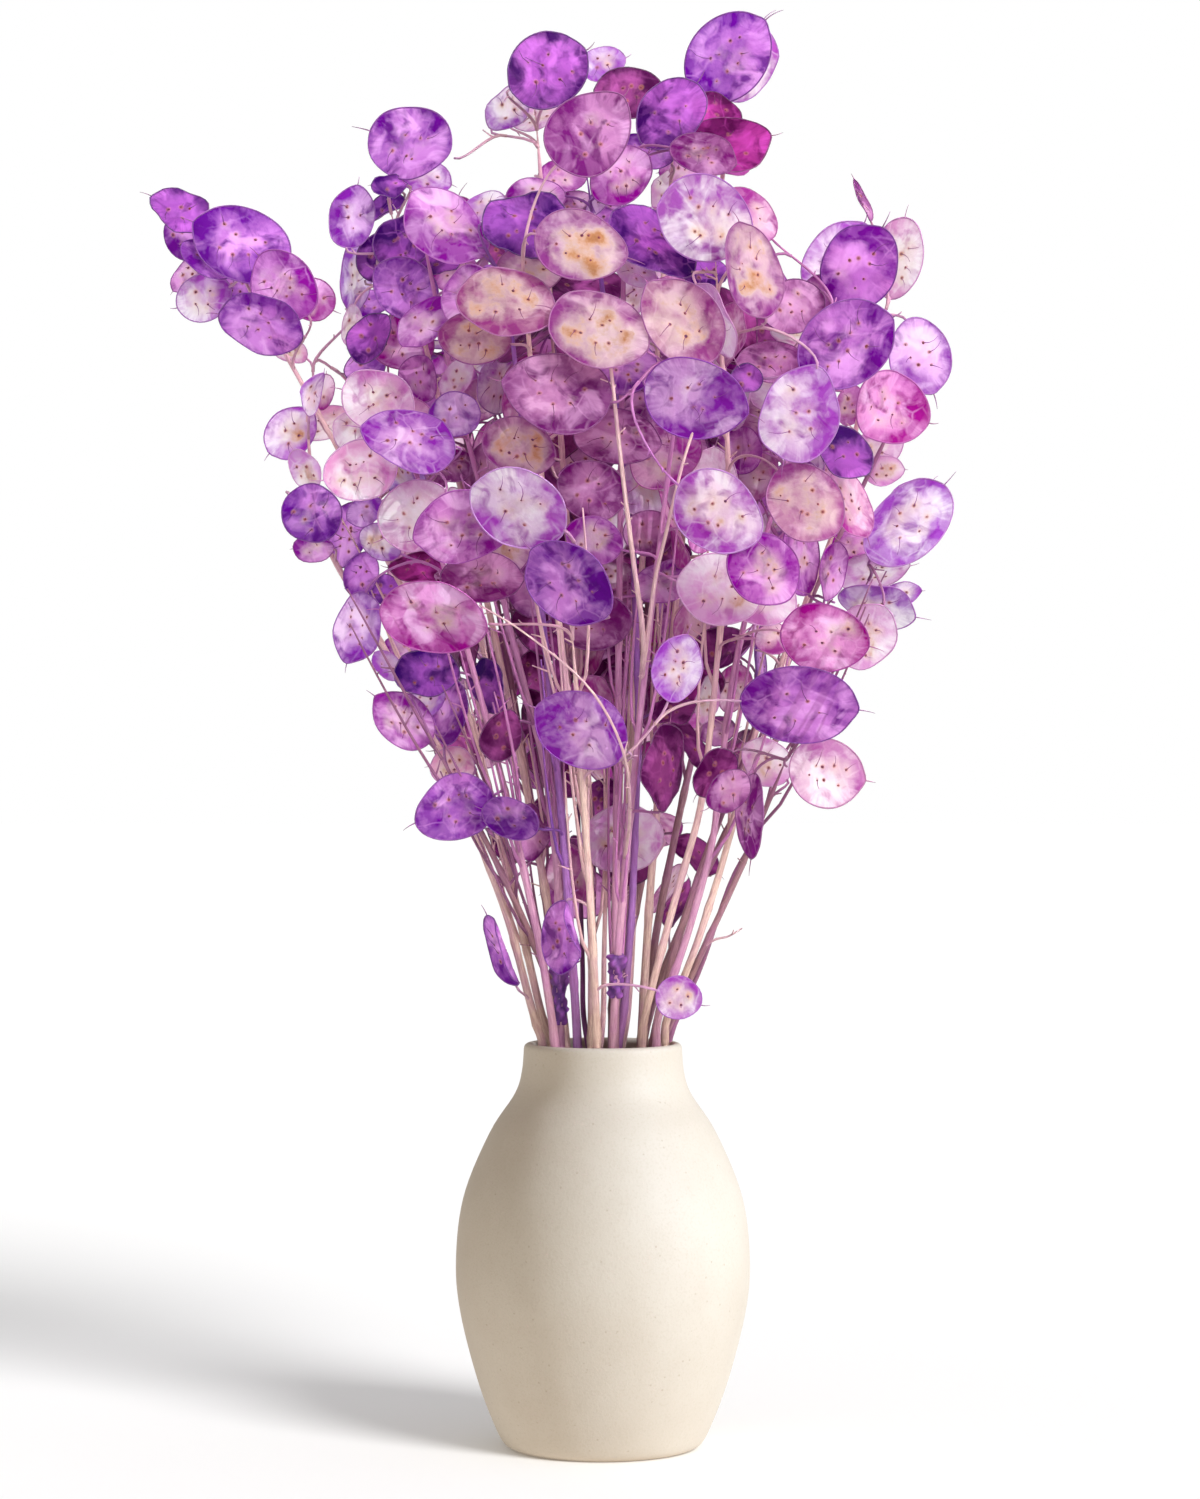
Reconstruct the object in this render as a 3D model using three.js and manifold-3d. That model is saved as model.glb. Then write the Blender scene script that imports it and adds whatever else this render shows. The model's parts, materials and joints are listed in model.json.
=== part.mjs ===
// Dyed honesty (Lunaria annua) seed pod stems standing in a stoneware vase.
// Millimetres, +Z up. The origin is the centre of the vase's foot, and the front is towards -Y.
// The vase is one lathed solid. Each stem is one grown piece: a tapering stem, the thin stalks
// that branch from it, and a flat oval pod at the end of each stalk, all fused in one solid.
import * as THREE from "three";
import Module from "manifold-3d";

const wasm = await Module();
wasm.setup();

// ---- Vase -------------------------------------------------------------------------------
const VASE_HEIGHT = 180;
const VASE_WALL = 4.5;
const VASE_FLOOR = 8;
const LIP_ROUND = 1.6; // the lip is rounded by this much, inside and out
const LATHE_SIDES = 30;
const STONEWARE = 0xe9e0d0;
// Radius and height of the outside, from the foot to just under the lip.
const VASE_SIDE = [
  [41.5, 0],
  [46.5, 6],
  [55.5, 29],
  [63.5, 60],
  [65.5, 84],
  [62, 112],
  [50.5, 140],
  [39.5, 157],
  [36.2, 167],
  [35.2, VASE_HEIGHT - LIP_ROUND],
];
const SIDE_STEPS = 11;
const INSIDE_STEPS = 5;
const SEAT_GAP = 0.3; // a stem's foot stands this far off the vase's floor

// ---- The bunch, as it looks from the front -----------------------------------------------
// The tables give places and sizes as seen from this far in front of the vase's axis and this
// high above its foot, measured in the plane through the axis. What lies nearer is drawn in.
const EYE_DISTANCE = 1850;
const EYE_HEIGHT = 320;
const BUNCH_DEPTH = 125; // from the axis to the foremost pods at the bunch's middle height
const BUNCH_FOOT = 150; // heights between which the bunch swells and narrows again
const BUNCH_TOP = 700;
const BUNCH_FULLNESS = 0.8;
const BUNCH_HALF_WIDTH = 200;

// Each stem: its dye, its layer, and the points [x, z] of its route from the rim up to its end. A row
// with one point gives the end alone. Layer 1 is the bunch's front, 0 its middle and -1 its back.
const STEMS = [
  ["violet", 0.25, [-27, 190], [-41, 252], [-57, 318], [-72, 358], [-92, 386], [-118, 445], [-160, 520]],
  ["violet", 0.15, [-30.5, 190], [-42, 235], [-66, 298], [-90, 343], [-112, 381], [-129, 412], [-132, 464]],
  ["violet", 0.55, [-19, 190], [-20, 255], [-26, 305], [-42, 366], [-54, 425], [-66, 470], [-82, 548]],
  ["lilac", 0.8, [-5, 195], [-5, 240], [-10, 300], [-17, 345], [-26, 420], [-32, 480], [-36, 530]],
  ["mauve", 0.45, [9, 190], [13, 240], [16, 320], [13, 420], [4, 480], [-2, 530], [-8, 572]],
  ["orchid", 0.7, [18, 190], [31, 240], [44, 285], [49, 330], [54, 385], [56, 440], [50, 530]],
  ["mauve", 0.55, [23.5, 190], [36, 222], [49, 268], [57, 340], [68, 390], [80, 432], [104, 512]],
  ["violet", 0.3, [27.5, 190], [40, 218], [54, 262], [68, 320], [86, 366], [104, 410], [122, 500]],
  ["orchid", 0.4, [30.5, 190], [42, 216], [60, 254], [74, 288], [84, 312]],
  ["lilac", 0.6, [-84, 436]],
  ["violet", 0.25, [-96, 556]],
  ["mauve", 0.65, [-44, 525]],
  ["orchid", 0.3, [-30, 594]],
  ["orchid", 0.6, [10, 580]],
  ["violet", 0.3, [32, 586]],
  ["violet", 0.1, [58, 606]],
  ["mauve", 0.75, [34, 474]],
  ["orchid", 0.1, [134, 466]],
  ["lilac", 0.2, [122, 392]],
  ["violet", 0.85, [-14, 366]],
  ["violet", 0.3, [-78, 318]],
  ["mauve", -0.35, [-74, 512]],
  ["violet", -0.45, [-18, 556]],
  ["orchid", -0.5, [36, 540]],
  ["lilac", -0.4, [90, 500]],
  ["mauve", -0.8, [-42, 452]],
  ["lilac", -0.85, [14, 470]],
  ["violet", -0.75, [64, 436]],
];
const STEM_SIDE = [0.3, 0.9, 0.1]; // the way that a stem's first edge faces
const DYES = { violet: 0x7d3fb4, orchid: 0xb95fc0, lilac: 0xcaa6e0, mauve: 0xa9749f };
const STEM_FOOT_R = 2.1; // radius at the cut end
const STEM_TIP_R = 0.9;
const STEM_SIDES = 4;
const STEM_STEPS = 6; // above the neck, where a row gives the end alone
const STEM_BOW = 1.25; // over 1, a stem leans out more and more towards its end
const STEM_SPACING = 5.1; // between the middles of two stems
const STEM_SHIFT = 5; // a stem that is in the way moves forward or back by steps of this much
const STEM_SHIFTS = 17;
const LIP_RINGS = 5; // the stems pass the lip on rings
const LIP_RING_STEP = 5.6;
const LIP_DRAW = 0.2; // a stem's place at the lip is where its end is, drawn in by this much,
const LIP_SHARE = 0.9; // or at this share of its route's first point
const LIP_CHOICES = 30;
const FOOT_DRAW = 0.86; // from the lip down the stems draw together by this much

// Each pod: [x, z, length, width, lean of its long axis in degrees, layer], as seen.
const PODS = [
  // the crown
  [-25, 613, 38, 33, 30, 0.55],
  [-42, 596, 24, 16, 50, 0.3],
  [-28, 593, 26, 13, 20, 0.15],
  [0, 616, 20, 16, 15, 0.25],
  [12, 603, 30, 24, 0, 0.35],
  [-6, 585, 42, 35, 45, 0.85],
  [30, 594, 36, 28, 50, 0.6],
  [8, 566, 30, 23, 40, 0.6],
  [20, 577, 24, 15, -30, 0.4],
  [50, 595, 24, 16, -20, 0.3],
  [54, 580, 42, 27, 5, 0.5],
  [45, 576, 30, 20, -10, 0.75],
  [56, 619, 44, 33, 45, 0.35],
  [66, 617, 38, 22, 60, 0.1],
  [46, 547, 42, 38, -10, 0.85],
  [66, 549, 28, 20, -50, 0.4],
  [22, 537, 44, 27, -38, 0.7],
  [66, 524, 43, 28, -72, 0.9],
  [26, 560, 18, 8, 70, 0.3],
  [46, 522, 20, 12, 0, 0.4],
  [-2, 556, 18, 8, 65, 0.45],
  // the upper left
  [-188, 551, 26, 19, -25, 0.2],
  [-188, 538, 20, 14, -60, 0.05],
  [-161, 536, 44, 34, -25, 0.35],
  [-178, 512, 25, 21, 20, 0.1],
  [-176, 529, 26, 14, -35, 0.5],
  [-142, 517, 34, 27, -50, 0.5],
  [-129, 511, 21, 19, -30, 0.2],
  [-152, 500, 38, 24, -15, 0.3],
  [-141, 489, 20, 9, -25, 0.1],
  [-85, 580, 40, 34, -20, 0.35],
  [-112, 548, 28, 21, 80, 0.25],
  [-95, 562, 16, 11, 0, 0.4],
  [-69, 545, 42, 27, -42, 0.7],
  [-88, 537, 30, 24, 40, 0.35],
  [-100, 530, 24, 18, 60, 0.2],
  [-110, 521, 32, 12, 85, 0.1],
  [-88, 516, 30, 26, -30, 0.5],
  [-73, 528, 18, 12, 10, 0.3],
  [-80, 502, 28, 20, 50, 0.6],
  [-103, 494, 24, 20, 50, 0.35],
  [-90, 492, 30, 24, -20, 0.2],
  [-112, 500, 18, 10, 80, 0.2],
  [-34, 545, 39, 30, 0, 0.8],
  [-10, 535, 41, 32, -15, 1],
  [-43, 511, 45, 30, -18, 1],
  [-57, 494, 32, 24, -10, 0.8],
  [-60, 513, 28, 22, 60, 0.55],
  [-33, 524, 28, 18, -10, 0.6],
  [-30, 557, 26, 18, 0, 0.4],
  [-53, 553, 20, 12, 20, 0.3],
  // the front
  [-2, 498, 46, 33, -25, 1],
  [-20, 470, 48, 36, -12, 0.95],
  [35, 501, 44, 32, -50, 0.95],
  [50, 502, 36, 12, -62, 0.8],
  [57, 495, 28, 12, 80, 0.6],
  [41, 467, 46, 34, -15, 0.9],
  [-37, 446, 33, 26, -20, 0.75],
  [-38, 418, 45, 33, -25, 1],
  [-5, 426, 32, 26, -20, 0.6],
  [6, 450, 38, 26, -10, 0.5],
  [22, 430, 34, 26, 50, 0.3],
  [20, 407, 24, 20, 0, 0.3],
  [14, 523, 20, 12, -30, 0.6],
  [-15, 385, 44, 33, -40, 1],
  [-4, 404, 26, 20, -20, 0.6],
  [-5, 368, 36, 26, 0, 0.4],
  [-9, 319, 44, 33, -25, 0.95],
  [33, 347, 30, 22, 75, 0.9],
  [51, 416, 42, 35, -35, 0.95],
  [72, 391, 35, 31, -30, 0.9],
  [52, 382, 38, 32, -10, 0.65],
  [70, 380, 34, 28, -30, 0.6],
  [54, 355, 28, 20, 0, 0.3],
  [76, 360, 16, 14, 0, 0.5],
  [28, 303, 38, 19, 85, 0.5],
  [42, 314, 28, 16, -50, 0.3],
  [31, 328, 20, 13, 10, 0.2],
  [46, 333, 22, 11, 80, 0.1],
  // the right
  [114, 525, 38, 33, 60, 0.55],
  [106, 527, 40, 32, 60, 0.2],
  [131, 530, 36, 22, 80, 0.1],
  [115, 555, 20, 7, -65, 0.2],
  [108, 491, 46, 36, 30, 0.7],
  [141, 486, 34, 28, -70, 0.2],
  [88, 460, 43, 35, 70, 0.9],
  [85, 508, 28, 24, 30, 0.5],
  [95, 511, 22, 15, 70, 0.3],
  [75, 483, 30, 20, 0, 0.45],
  [64, 476, 15, 13, 0, 0.7],
  [126, 463, 40, 32, -20, 0.35],
  [122, 444, 26, 18, 30, 0.1],
  [108, 443, 27, 21, -45, 0.6],
  [90, 421, 38, 32, -50, 0.85],
  [110, 420, 32, 18, -70, 0.45],
  [136, 412, 46, 32, 45, 0.35],
  [99, 360, 39, 29, -10, 0.85],
  [117, 361, 30, 26, 60, 0.35],
  [121, 373, 36, 20, -10, 0.2],
  [121, 389, 32, 18, 5, 0.1],
  [102, 390, 26, 14, 75, 0.4],
  [87, 330, 51, 34, -5, 0.75],
  [99, 300, 35, 31, -10, 0.5],
  [73, 305, 24, 20, -40, 0.2],
  [50, 300, 24, 17, 50, 0.6],
  [56, 292, 22, 17, 40, 0.75],
  [64, 281, 38, 12, 80, 0.6],
  // the left
  [-130, 469, 20, 8, 85, 0.2],
  [-139, 452, 26, 21, 45, 0.2],
  [-124, 456, 26, 16, 15, 0.05],
  [-133, 435, 20, 13, -60, 0.1],
  [-108, 435, 33, 27, 15, 0.8],
  [-100, 466, 32, 28, -20, 0.6],
  [-111, 457, 26, 15, 60, 0.2],
  [-86, 450, 42, 26, -12, 0.85],
  [-66, 460, 23, 20, 0, 0.65],
  [-84, 415, 34, 30, 35, 0.75],
  [-61, 410, 45, 32, 15, 0.9],
  [-130, 416, 28, 26, -40, 0.4],
  [-129, 400, 18, 12, 0, 0.2],
  [-106, 417, 17, 13, 30, 0.4],
  [-99, 403, 20, 15, -30, 0.4],
  [-108, 389, 20, 14, 70, 0.3],
  [-54, 387, 36, 22, 0, 0.7],
  [-82, 392, 26, 14, 0, 0.4],
  [-75, 370, 48, 31, -8, 0.95],
  [-66, 438, 20, 16, 0, 0.3],
  [-65, 476, 20, 13, 60, 0.4],
  [-110, 365, 32, 21, 75, 0.35],
  [-96, 348, 16, 11, -45, 0.4],
  [-78, 345, 28, 22, 0, 0.45],
  [-89, 324, 31, 22, -40, 0.5],
  [-79, 333, 22, 14, 60, 0.3],
  [-68, 327, 28, 16, 80, 0.3],
  [-67, 303, 20, 18, 0, 0.3],
  [-66, 284, 36, 28, 20, 0.5],
  [-41, 280, 26, 18, -20, 0.55],
  [-45, 317, 24, 17, 70, 0.4],
  [-52, 338, 28, 14, -60, 0.3],
  // low on the stems
  [-30, 274, 26, 14, 80, 0.2],
  [-18, 227, 32, 20, 85, 0.8],
  [-45, 221, 34, 12, -68, 0.4],
  [9, 271, 36, 30, 0, 0.1],
  [34, 200, 21, 19, -20, 0.95],
];
const POD_RATIO = 1.22; // a pod's real length over its real width: what looks rounder or slimmer is turned
const POD_MOST_TURN = (68 * Math.PI) / 180;
const POD_THICKNESS = 0.9;
const POD_BEAK = 1.07; // the pod's far end is drawn out to a point by this much
const POD_STEPS = 4; // from a pod's near end to its far end
const TINY_POD = 12; // half a length under which a pod has fewer steps
const TINY_POD_STEPS = 3;
const DEPTH_STEP = 5; // a pod that is in the way moves forward or back by steps of this much
const DEPTH_TRIES = 21;

// The back, the sides and the inside of the bunch, filled by a seeded draw.
const FILL_SEED = 20240;
const FILL_PODS = 62;
const FILL_TRIES = 3000;
const FILL_CENTRE = [-4, 12, 432];
const FILL_REACH = [118, 118, 140];
const FILL_OUT = [0.45, 1]; // how much of its reach a filled pod lies at
const FILL_FRONT = -75; // nothing is filled in further forward than this
const FILL_TURN = 0.75; // how far a filled pod may turn from facing straight out
const FILL_HALF_LENGTH = [15, 23];
const FILL_RATIO = [1.12, 1.32];

// ---- Stalks ------------------------------------------------------------------------------
const STALK_R = 0.55;
const STALK_SHORTEST = 7;
const STALK_LONGEST = 95;
const STALK_LEAVES = 0.3; // how strongly a stalk keeps to the way of the wood that it leaves,
const STALK_ARRIVES = 0.25; // and to the way of its pod
const CURVE_STEPS = 8;
const MIDDLING_STALK = 26; // from this length a stalk has a bend, and from the next a second one
const LONG_STALK = 50;
const LOWEST_BUD = 192; // no stalk leaves a stem below this height
const BUD_SPACING = 8;
const LEAST_ONWARD = 0.15; // cosines: how far a stalk may turn from the way of its wood,
const LEAST_END_ON = -0.35; // and from the way of its pod
const ONWARD_WORTH = 0.6; // what going onward, and meeting the pod end on, take off a stalk's cost
const END_ON_WORTH = 0.4;
const CROWDING = 2.5; // each pod that a stem has makes it this much dearer
const STALK_CHOICES = 10; // buds that are tried for each place of a pod

// ---- Clear space -------------------------------------------------------------------------
const POD_GAP = 1.9; // between the middles of two pods, where they pass each other
const WOOD_GAP = 1.5; // between a pod's middle and a stalk's or stem's surface
const OWN_STALK_GAP = 0.2; // between a pod's middle and its own stalk, up to the stalk's last step
const STALK_GAP = 0.7; // between two stems' stalks
const STEM_MEAN_R = 1.5;
const RIM_POINTS = 14; // points round a pod that are tested
const PATH_STEP = 5; // between the points of a stem that are tested

// ---- Small vector sums -------------------------------------------------------------------
const add = (p, q, k = 1) => [p[0] + q[0] * k, p[1] + q[1] * k, p[2] + q[2] * k];
const less = (p, q) => add(p, q, -1);
const dot = (p, q) => p[0] * q[0] + p[1] * q[1] + p[2] * q[2];
const length = (p) => Math.sqrt(dot(p, p));
const unit = (p) => add([0, 0, 0], p, 1 / length(p));
const cross = (p, q) => [
  p[1] * q[2] - p[2] * q[1],
  p[2] * q[0] - p[0] * q[2],
  p[0] * q[1] - p[1] * q[0],
];

// A seeded row of draws from 0 to 1.
function draws(seed) {
  let state = seed;
  return () => {
    state = (state * 1664525 + 1013904223) % 4294967296;
    return state / 4294967296;
  };
}

// ---- From the front view to the bunch ----------------------------------------------------
function depthOf(x, z, layer) {
  const swell = Math.sin((Math.PI * (z - BUNCH_FOOT)) / (BUNCH_TOP - BUNCH_FOOT)) ** BUNCH_FULLNESS;
  return -layer * BUNCH_DEPTH * swell * Math.sqrt(1 - (x / BUNCH_HALF_WIDTH) ** 2);
}

const drawnIn = (y) => 1 + y / EYE_DISTANCE;

function placed(x, z, y) {
  const k = drawnIn(y);
  return [x * k, y, EYE_HEIGHT + (z - EYE_HEIGHT) * k];
}

// A pod that looks long by wide, with its real size and turn worked out from its ratio.
// side is +1 or -1: which edge or end comes forward.
function podSeen([x, z, long, wide, lean], y, side) {
  const k = drawnIn(y) / 2;
  const angle = (lean * Math.PI) / 180;
  const along = [Math.cos(angle), 0, Math.sin(angle)];
  const across = [-Math.sin(angle), 0, Math.cos(angle)];
  const forward = [0, -1, 0];
  const turned = (axis, turn) =>
    add(add([0, 0, 0], axis, Math.cos(turn)), forward, Math.sin(turn) * side);
  let a = long * k;
  let b = wide * k;
  let u = along;
  let v = across;
  if (a / b >= POD_RATIO) {
    const turn = Math.min(Math.acos((b * POD_RATIO) / a), POD_MOST_TURN);
    b /= Math.cos(turn);
    v = turned(across, turn);
  } else {
    const turn = Math.acos(a / (b * POD_RATIO));
    a = b * POD_RATIO;
    u = turned(along, turn);
  }
  return { c: placed(x, z, y), u, v, n: cross(u, v), a, b };
}

// ---- Clearances --------------------------------------------------------------------------
const rimOf = (pod) =>
  Array.from({ length: RIM_POINTS }, (_, i) => {
    const t = (2 * Math.PI * i) / RIM_POINTS;
    return add(add(pod.c, pod.u, pod.a * Math.cos(t)), pod.v, pod.b * Math.sin(t));
  });

// True if the path comes nearer than gap to the pod's oval. A closed path joins its ends.
function pathMeetsPod(path, pod, gap, closed = false) {
  const a = pod.a + gap;
  const b = pod.b + gap;
  const inOval = (p) => {
    const s = dot(p, pod.u) / a;
    const t = dot(p, pod.v) / b;
    return s * s + t * t < 1;
  };
  const local = path.map((p) => less(p, pod.c));
  const high = local.map((p) => dot(p, pod.n));
  for (let i = 0; i < local.length; i++) {
    if (Math.abs(high[i]) < gap && inOval(local[i])) return true;
    const j = (i + 1) % local.length;
    if ((j > i || closed) && high[i] * high[j] < 0) {
      const share = high[i] / (high[i] - high[j]);
      if (inOval(add(local[i], less(local[j], local[i]), share))) return true;
    }
  }
  return false;
}

function podMeetsPod(p, q) {
  const far = p.a + q.a + POD_GAP;
  if (dot(less(p.c, q.c), less(p.c, q.c)) > far * far) return false;
  return pathMeetsPod(p.rim, q, POD_GAP, true) || pathMeetsPod(q.rim, p, POD_GAP, true);
}

function distanceToPiece(p, from, to) {
  const way = less(to, from);
  const share = Math.min(1, Math.max(0, dot(less(p, from), way) / dot(way, way)));
  return length(less(p, add(from, way, share)));
}

// The way that a path goes at its point i.
const wayAt = (path, i) => unit(less(path[Math.min(i + 1, path.length - 1)], path[Math.max(i - 1, 0)]));

// Points along a path, no further apart than step.
function stepped(path, step) {
  const out = [path[0]];
  for (let i = 1; i < path.length; i++) {
    const way = less(path[i], path[i - 1]);
    const count = Math.ceil(length(way) / step);
    for (let k = 1; k <= count; k++) out.push(add(path[i - 1], way, k / count));
  }
  return out;
}

// True if a point of the path lies nearer than gap to the line.
function pathMeetsLine(path, line, gap) {
  return path.some((p) => line.some((q, i) => i > 0 && distanceToPiece(p, line[i - 1], q) < gap));
}

// ---- Laying out the stems ----------------------------------------------------------------
// Every other step of 0, 1, -1, 2, -2 and so on.
const toAndFro = (k) => (k % 2 ? 1 : -1) * Math.ceil(k / 2);

function lipPlaces() {
  const places = [[0, 0]];
  for (let ring = 1; ring <= LIP_RINGS; ring++) {
    const r = ring * LIP_RING_STEP;
    const count = Math.floor((2 * Math.PI * r) / STEM_SPACING);
    for (let k = 0; k < count; k++) {
      const turn = (2 * Math.PI * k) / count;
      places.push([r * Math.cos(turn), r * Math.sin(turn)]);
    }
  }
  return places;
}

// A stem's line, from the vase's floor to its place at the lip and along its route to its end.
function stemLine([x, y], route, layer, shift) {
  const [endX, endZ] = route[route.length - 1];
  const end = placed(endX, endZ, depthOf(endX, endZ, layer) + shift);
  const out = (s) => s ** STEM_BOW;
  const line = [
    [x * FOOT_DRAW, y * FOOT_DRAW, VASE_FLOOR + SEAT_GAP],
    [x, y, VASE_HEIGHT],
  ];
  if (route.length > 1) {
    const depthAt = (z) => y + (end[1] - y) * out((z - VASE_HEIGHT) / (endZ - VASE_HEIGHT));
    return [...line, ...route.map((p) => placed(p[0], p[1], depthAt(p[1])))];
  }
  for (let i = 1; i <= STEM_STEPS; i++) {
    const s = i / STEM_STEPS;
    const z = VASE_HEIGHT + (end[2] - VASE_HEIGHT) * s;
    line.push([x + (end[0] - x) * out(s), y + (end[1] - y) * out(s), z]);
  }
  return line;
}

// The stem at the first place and the first shift where it is clear of those before it.
function layStem([dye, layer, ...route], stems) {
  const [endX, endZ] = route[route.length - 1];
  const ownX = route.length > 1 ? route[0][0] * LIP_SHARE : endX * LIP_DRAW;
  const own = [ownX, depthOf(endX, endZ, layer) * LIP_DRAW];
  const off = ([x, y]) => (x - own[0]) ** 2 + (y - own[1]) ** 2;
  const places = lipPlaces()
    .sort((p, q) => off(p) - off(q))
    .slice(0, LIP_CHOICES);
  for (let k = 0; k < STEM_SHIFTS; k++)
    for (const place of places) {
      const line = stemLine(place, route, layer, toAndFro(k) * STEM_SHIFT);
      const path = stepped(line, PATH_STEP);
      if (!stems.some((other) => pathMeetsLine(path, other.line, STEM_SPACING)))
        return { dye, line, pods: [], stalks: [] };
    }
  throw new Error("no clear way for the stem that ends at " + endX + ", " + endZ);
}

// The places on a stem and its stalks that a new stalk can leave from.
function budsOn(line, stem) {
  const path = stepped(line, BUD_SPACING);
  return path
    .map((p, i) => ({ p, way: wayAt(path, i), stem }))
    .slice(1, -1)
    .filter((bud) => bud.p[2] > LOWEST_BUD);
}

// A stalk's curve from a bud to the pod's near end: it leaves along the wood and meets the pod end on.
function stalkCurve(bud, pod, steps) {
  const end = add(pod.c, pod.u, -pod.a);
  const far = length(less(end, bud.p));
  const p = [bud.p, add(bud.p, bud.way, far * STALK_LEAVES), add(end, pod.u, -far * STALK_ARRIVES), end];
  return Array.from({ length: steps + 1 }, (_, i) => {
    const t = i / steps;
    const w = [(1 - t) ** 3, 3 * t * (1 - t) ** 2, 3 * t * t * (1 - t), t ** 3];
    return p.reduce((sum, q, k) => add(sum, q, w[k]), [0, 0, 0]);
  });
}

// What it costs to hang the pod on this bud: short stalks that grow onward cost least.
function stalkCost(bud, pod) {
  const way = less(add(pod.c, pod.u, -pod.a), bud.p);
  const far = length(way);
  if (far < STALK_SHORTEST || far > STALK_LONGEST) return Infinity;
  const onward = dot(way, bud.way) / far;
  const endOn = dot(way, pod.u) / far;
  if (onward < LEAST_ONWARD || endOn < LEAST_END_ON) return Infinity;
  return far * (2 - ONWARD_WORTH * onward - END_ON_WORTH * endOn) + CROWDING * bud.stem.pods.length;
}

function isClear(pod, grown) {
  if (grown.pods.some((q) => podMeetsPod(pod, q))) return false;
  return !grown.wood.some((w) => pathMeetsPod(w.path, pod, WOOD_GAP + w.r));
}

// Hangs the pod on the cheapest bud whose stalk is clear, and returns whether one was.
function hang(seen, grown) {
  const rim = rimOf(seen);
  if (!isClear({ ...seen, rim }, grown)) return false;
  const turnedRound = { ...seen, u: less([0, 0, 0], seen.u), v: less([0, 0, 0], seen.v) };
  const choices = [seen, turnedRound]
    .flatMap((pod) => grown.buds.map((bud) => ({ pod, bud, cost: stalkCost(bud, pod) })))
    .filter((choice) => choice.cost < Infinity)
    .sort((p, q) => p.cost - q.cost)
    .slice(0, STALK_CHOICES);
  for (const { pod, bud } of choices) {
    const path = stalkCurve(bud, pod, CURVE_STEPS);
    const stopped =
      grown.pods.some((q) => pathMeetsPod(path, q, WOOD_GAP + STALK_R)) ||
      grown.wood.some((w) => w.stem !== bud.stem && pathMeetsLine(path, w.line, w.r + STALK_R + STALK_GAP)) ||
      pathMeetsPod(path.slice(0, -1), pod, OWN_STALK_GAP);
    if (stopped) continue;
    const far = length(less(path[0], path[CURVE_STEPS]));
    const line = stalkCurve(bud, pod, 1 + (far > MIDDLING_STALK) + (far > LONG_STALK));
    const hung = { ...pod, rim };
    bud.stem.pods.push(hung);
    bud.stem.stalks.push(line);
    grown.pods.push(hung);
    grown.wood.push({ line: path, path, r: STALK_R, stem: bud.stem });
    grown.buds.push(...budsOn(line, bud.stem));
    return true;
  }
  return false;
}

// The pod of the table at the first clear depth, nearest to its layer's own.
function hangSeen(row, grown) {
  const own = depthOf(row[0], row[1], row[5]);
  for (let k = 0; k < DEPTH_TRIES; k++) {
    const y = own + toAndFro(k) * DEPTH_STEP;
    const outward = [row[0], y, row[1] - FILL_CENTRE[2]];
    const facing = [1, -1]
      .map((side) => podSeen(row, y, side))
      .map((pod) => ({ pod, out: Math.abs(dot(pod.n, outward)) }))
      .sort((p, q) => q.out - p.out);
    for (const { pod } of facing) if (hang(pod, grown)) return true;
  }
  return false;
}

// A pod of the fill: a drawn place in the bunch, facing out and turned by a draw.
function drawnPod(draw) {
  const between = ([low, high]) => low + (high - low) * draw();
  const way = unit([0, 1, 2].map(() => between([-1, 1])));
  const out = between(FILL_OUT);
  const c = FILL_CENTRE.map((p, i) => p + way[i] * FILL_REACH[i] * out);
  const n = unit(way.map((p) => p + FILL_TURN * between([-1, 1])));
  const spin = between([0, 2 * Math.PI]);
  const level = unit(cross([0, 0, 1], n));
  const u = add(add([0, 0, 0], level, Math.cos(spin)), cross(n, level), Math.sin(spin));
  const a = between(FILL_HALF_LENGTH);
  return { c, u, v: cross(n, u), n, a, b: a / between(FILL_RATIO) };
}

function growBunch() {
  const stems = [];
  for (const row of STEMS) stems.push(layStem(row, stems));
  const grown = { pods: [], wood: [], buds: [] };
  for (const stem of stems) {
    grown.wood.push({ line: stem.line, path: stepped(stem.line, PATH_STEP), r: STEM_MEAN_R, stem });
    grown.buds.push(...budsOn(stem.line, stem));
  }
  for (const row of PODS) hangSeen(row, grown);
  const draw = draws(FILL_SEED);
  let filled = 0;
  for (let i = 0; i < FILL_TRIES && filled < FILL_PODS; i++) {
    const pod = drawnPod(draw);
    if (pod.c[1] > FILL_FRONT && hang(pod, grown)) filled += 1;
  }
  return stems;
}

// ---- Solids ------------------------------------------------------------------------------
function named(name, geometry, color, roughness) {
  const mesh = new THREE.Mesh(geometry, new THREE.MeshStandardMaterial({ color, roughness, metalness: 0 }));
  mesh.name = name;
  return mesh;
}

// A rod of rings that lie square to its path, closed by a flat cap at each end. Each ring is given
// as corners [along its side, along its other side]. The side starts as the last ring's own.
function rod(points, rings, lastSide) {
  const sides = rings[0].length;
  const position = new Array(points.length);
  let side = lastSide;
  for (let i = points.length - 1; i >= 0; i--) {
    const way = wayAt(points, i);
    side = unit(add(side, way, -dot(side, way)));
    const other = cross(way, side);
    position[i] = rings[i].flatMap(([s, t]) => add(add(points[i], side, s), other, t));
  }
  const index = [];
  for (let i = 0; i + 1 < points.length; i++)
    for (let k = 0; k < sides; k++) {
      const a = i * sides + k;
      const b = i * sides + ((k + 1) % sides);
      index.push(a, b, b + sides, a, b + sides, a + sides);
    }
  const last = (points.length - 1) * sides;
  for (let k = 1; k + 1 < sides; k++) index.push(0, k + 1, k, last, last + k, last + k + 1);
  const vertProperties = new Float32Array(position.flat());
  return new wasm.Manifold(new wasm.Mesh({ numProp: 3, vertProperties, triVerts: new Uint32Array(index) }));
}

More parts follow.
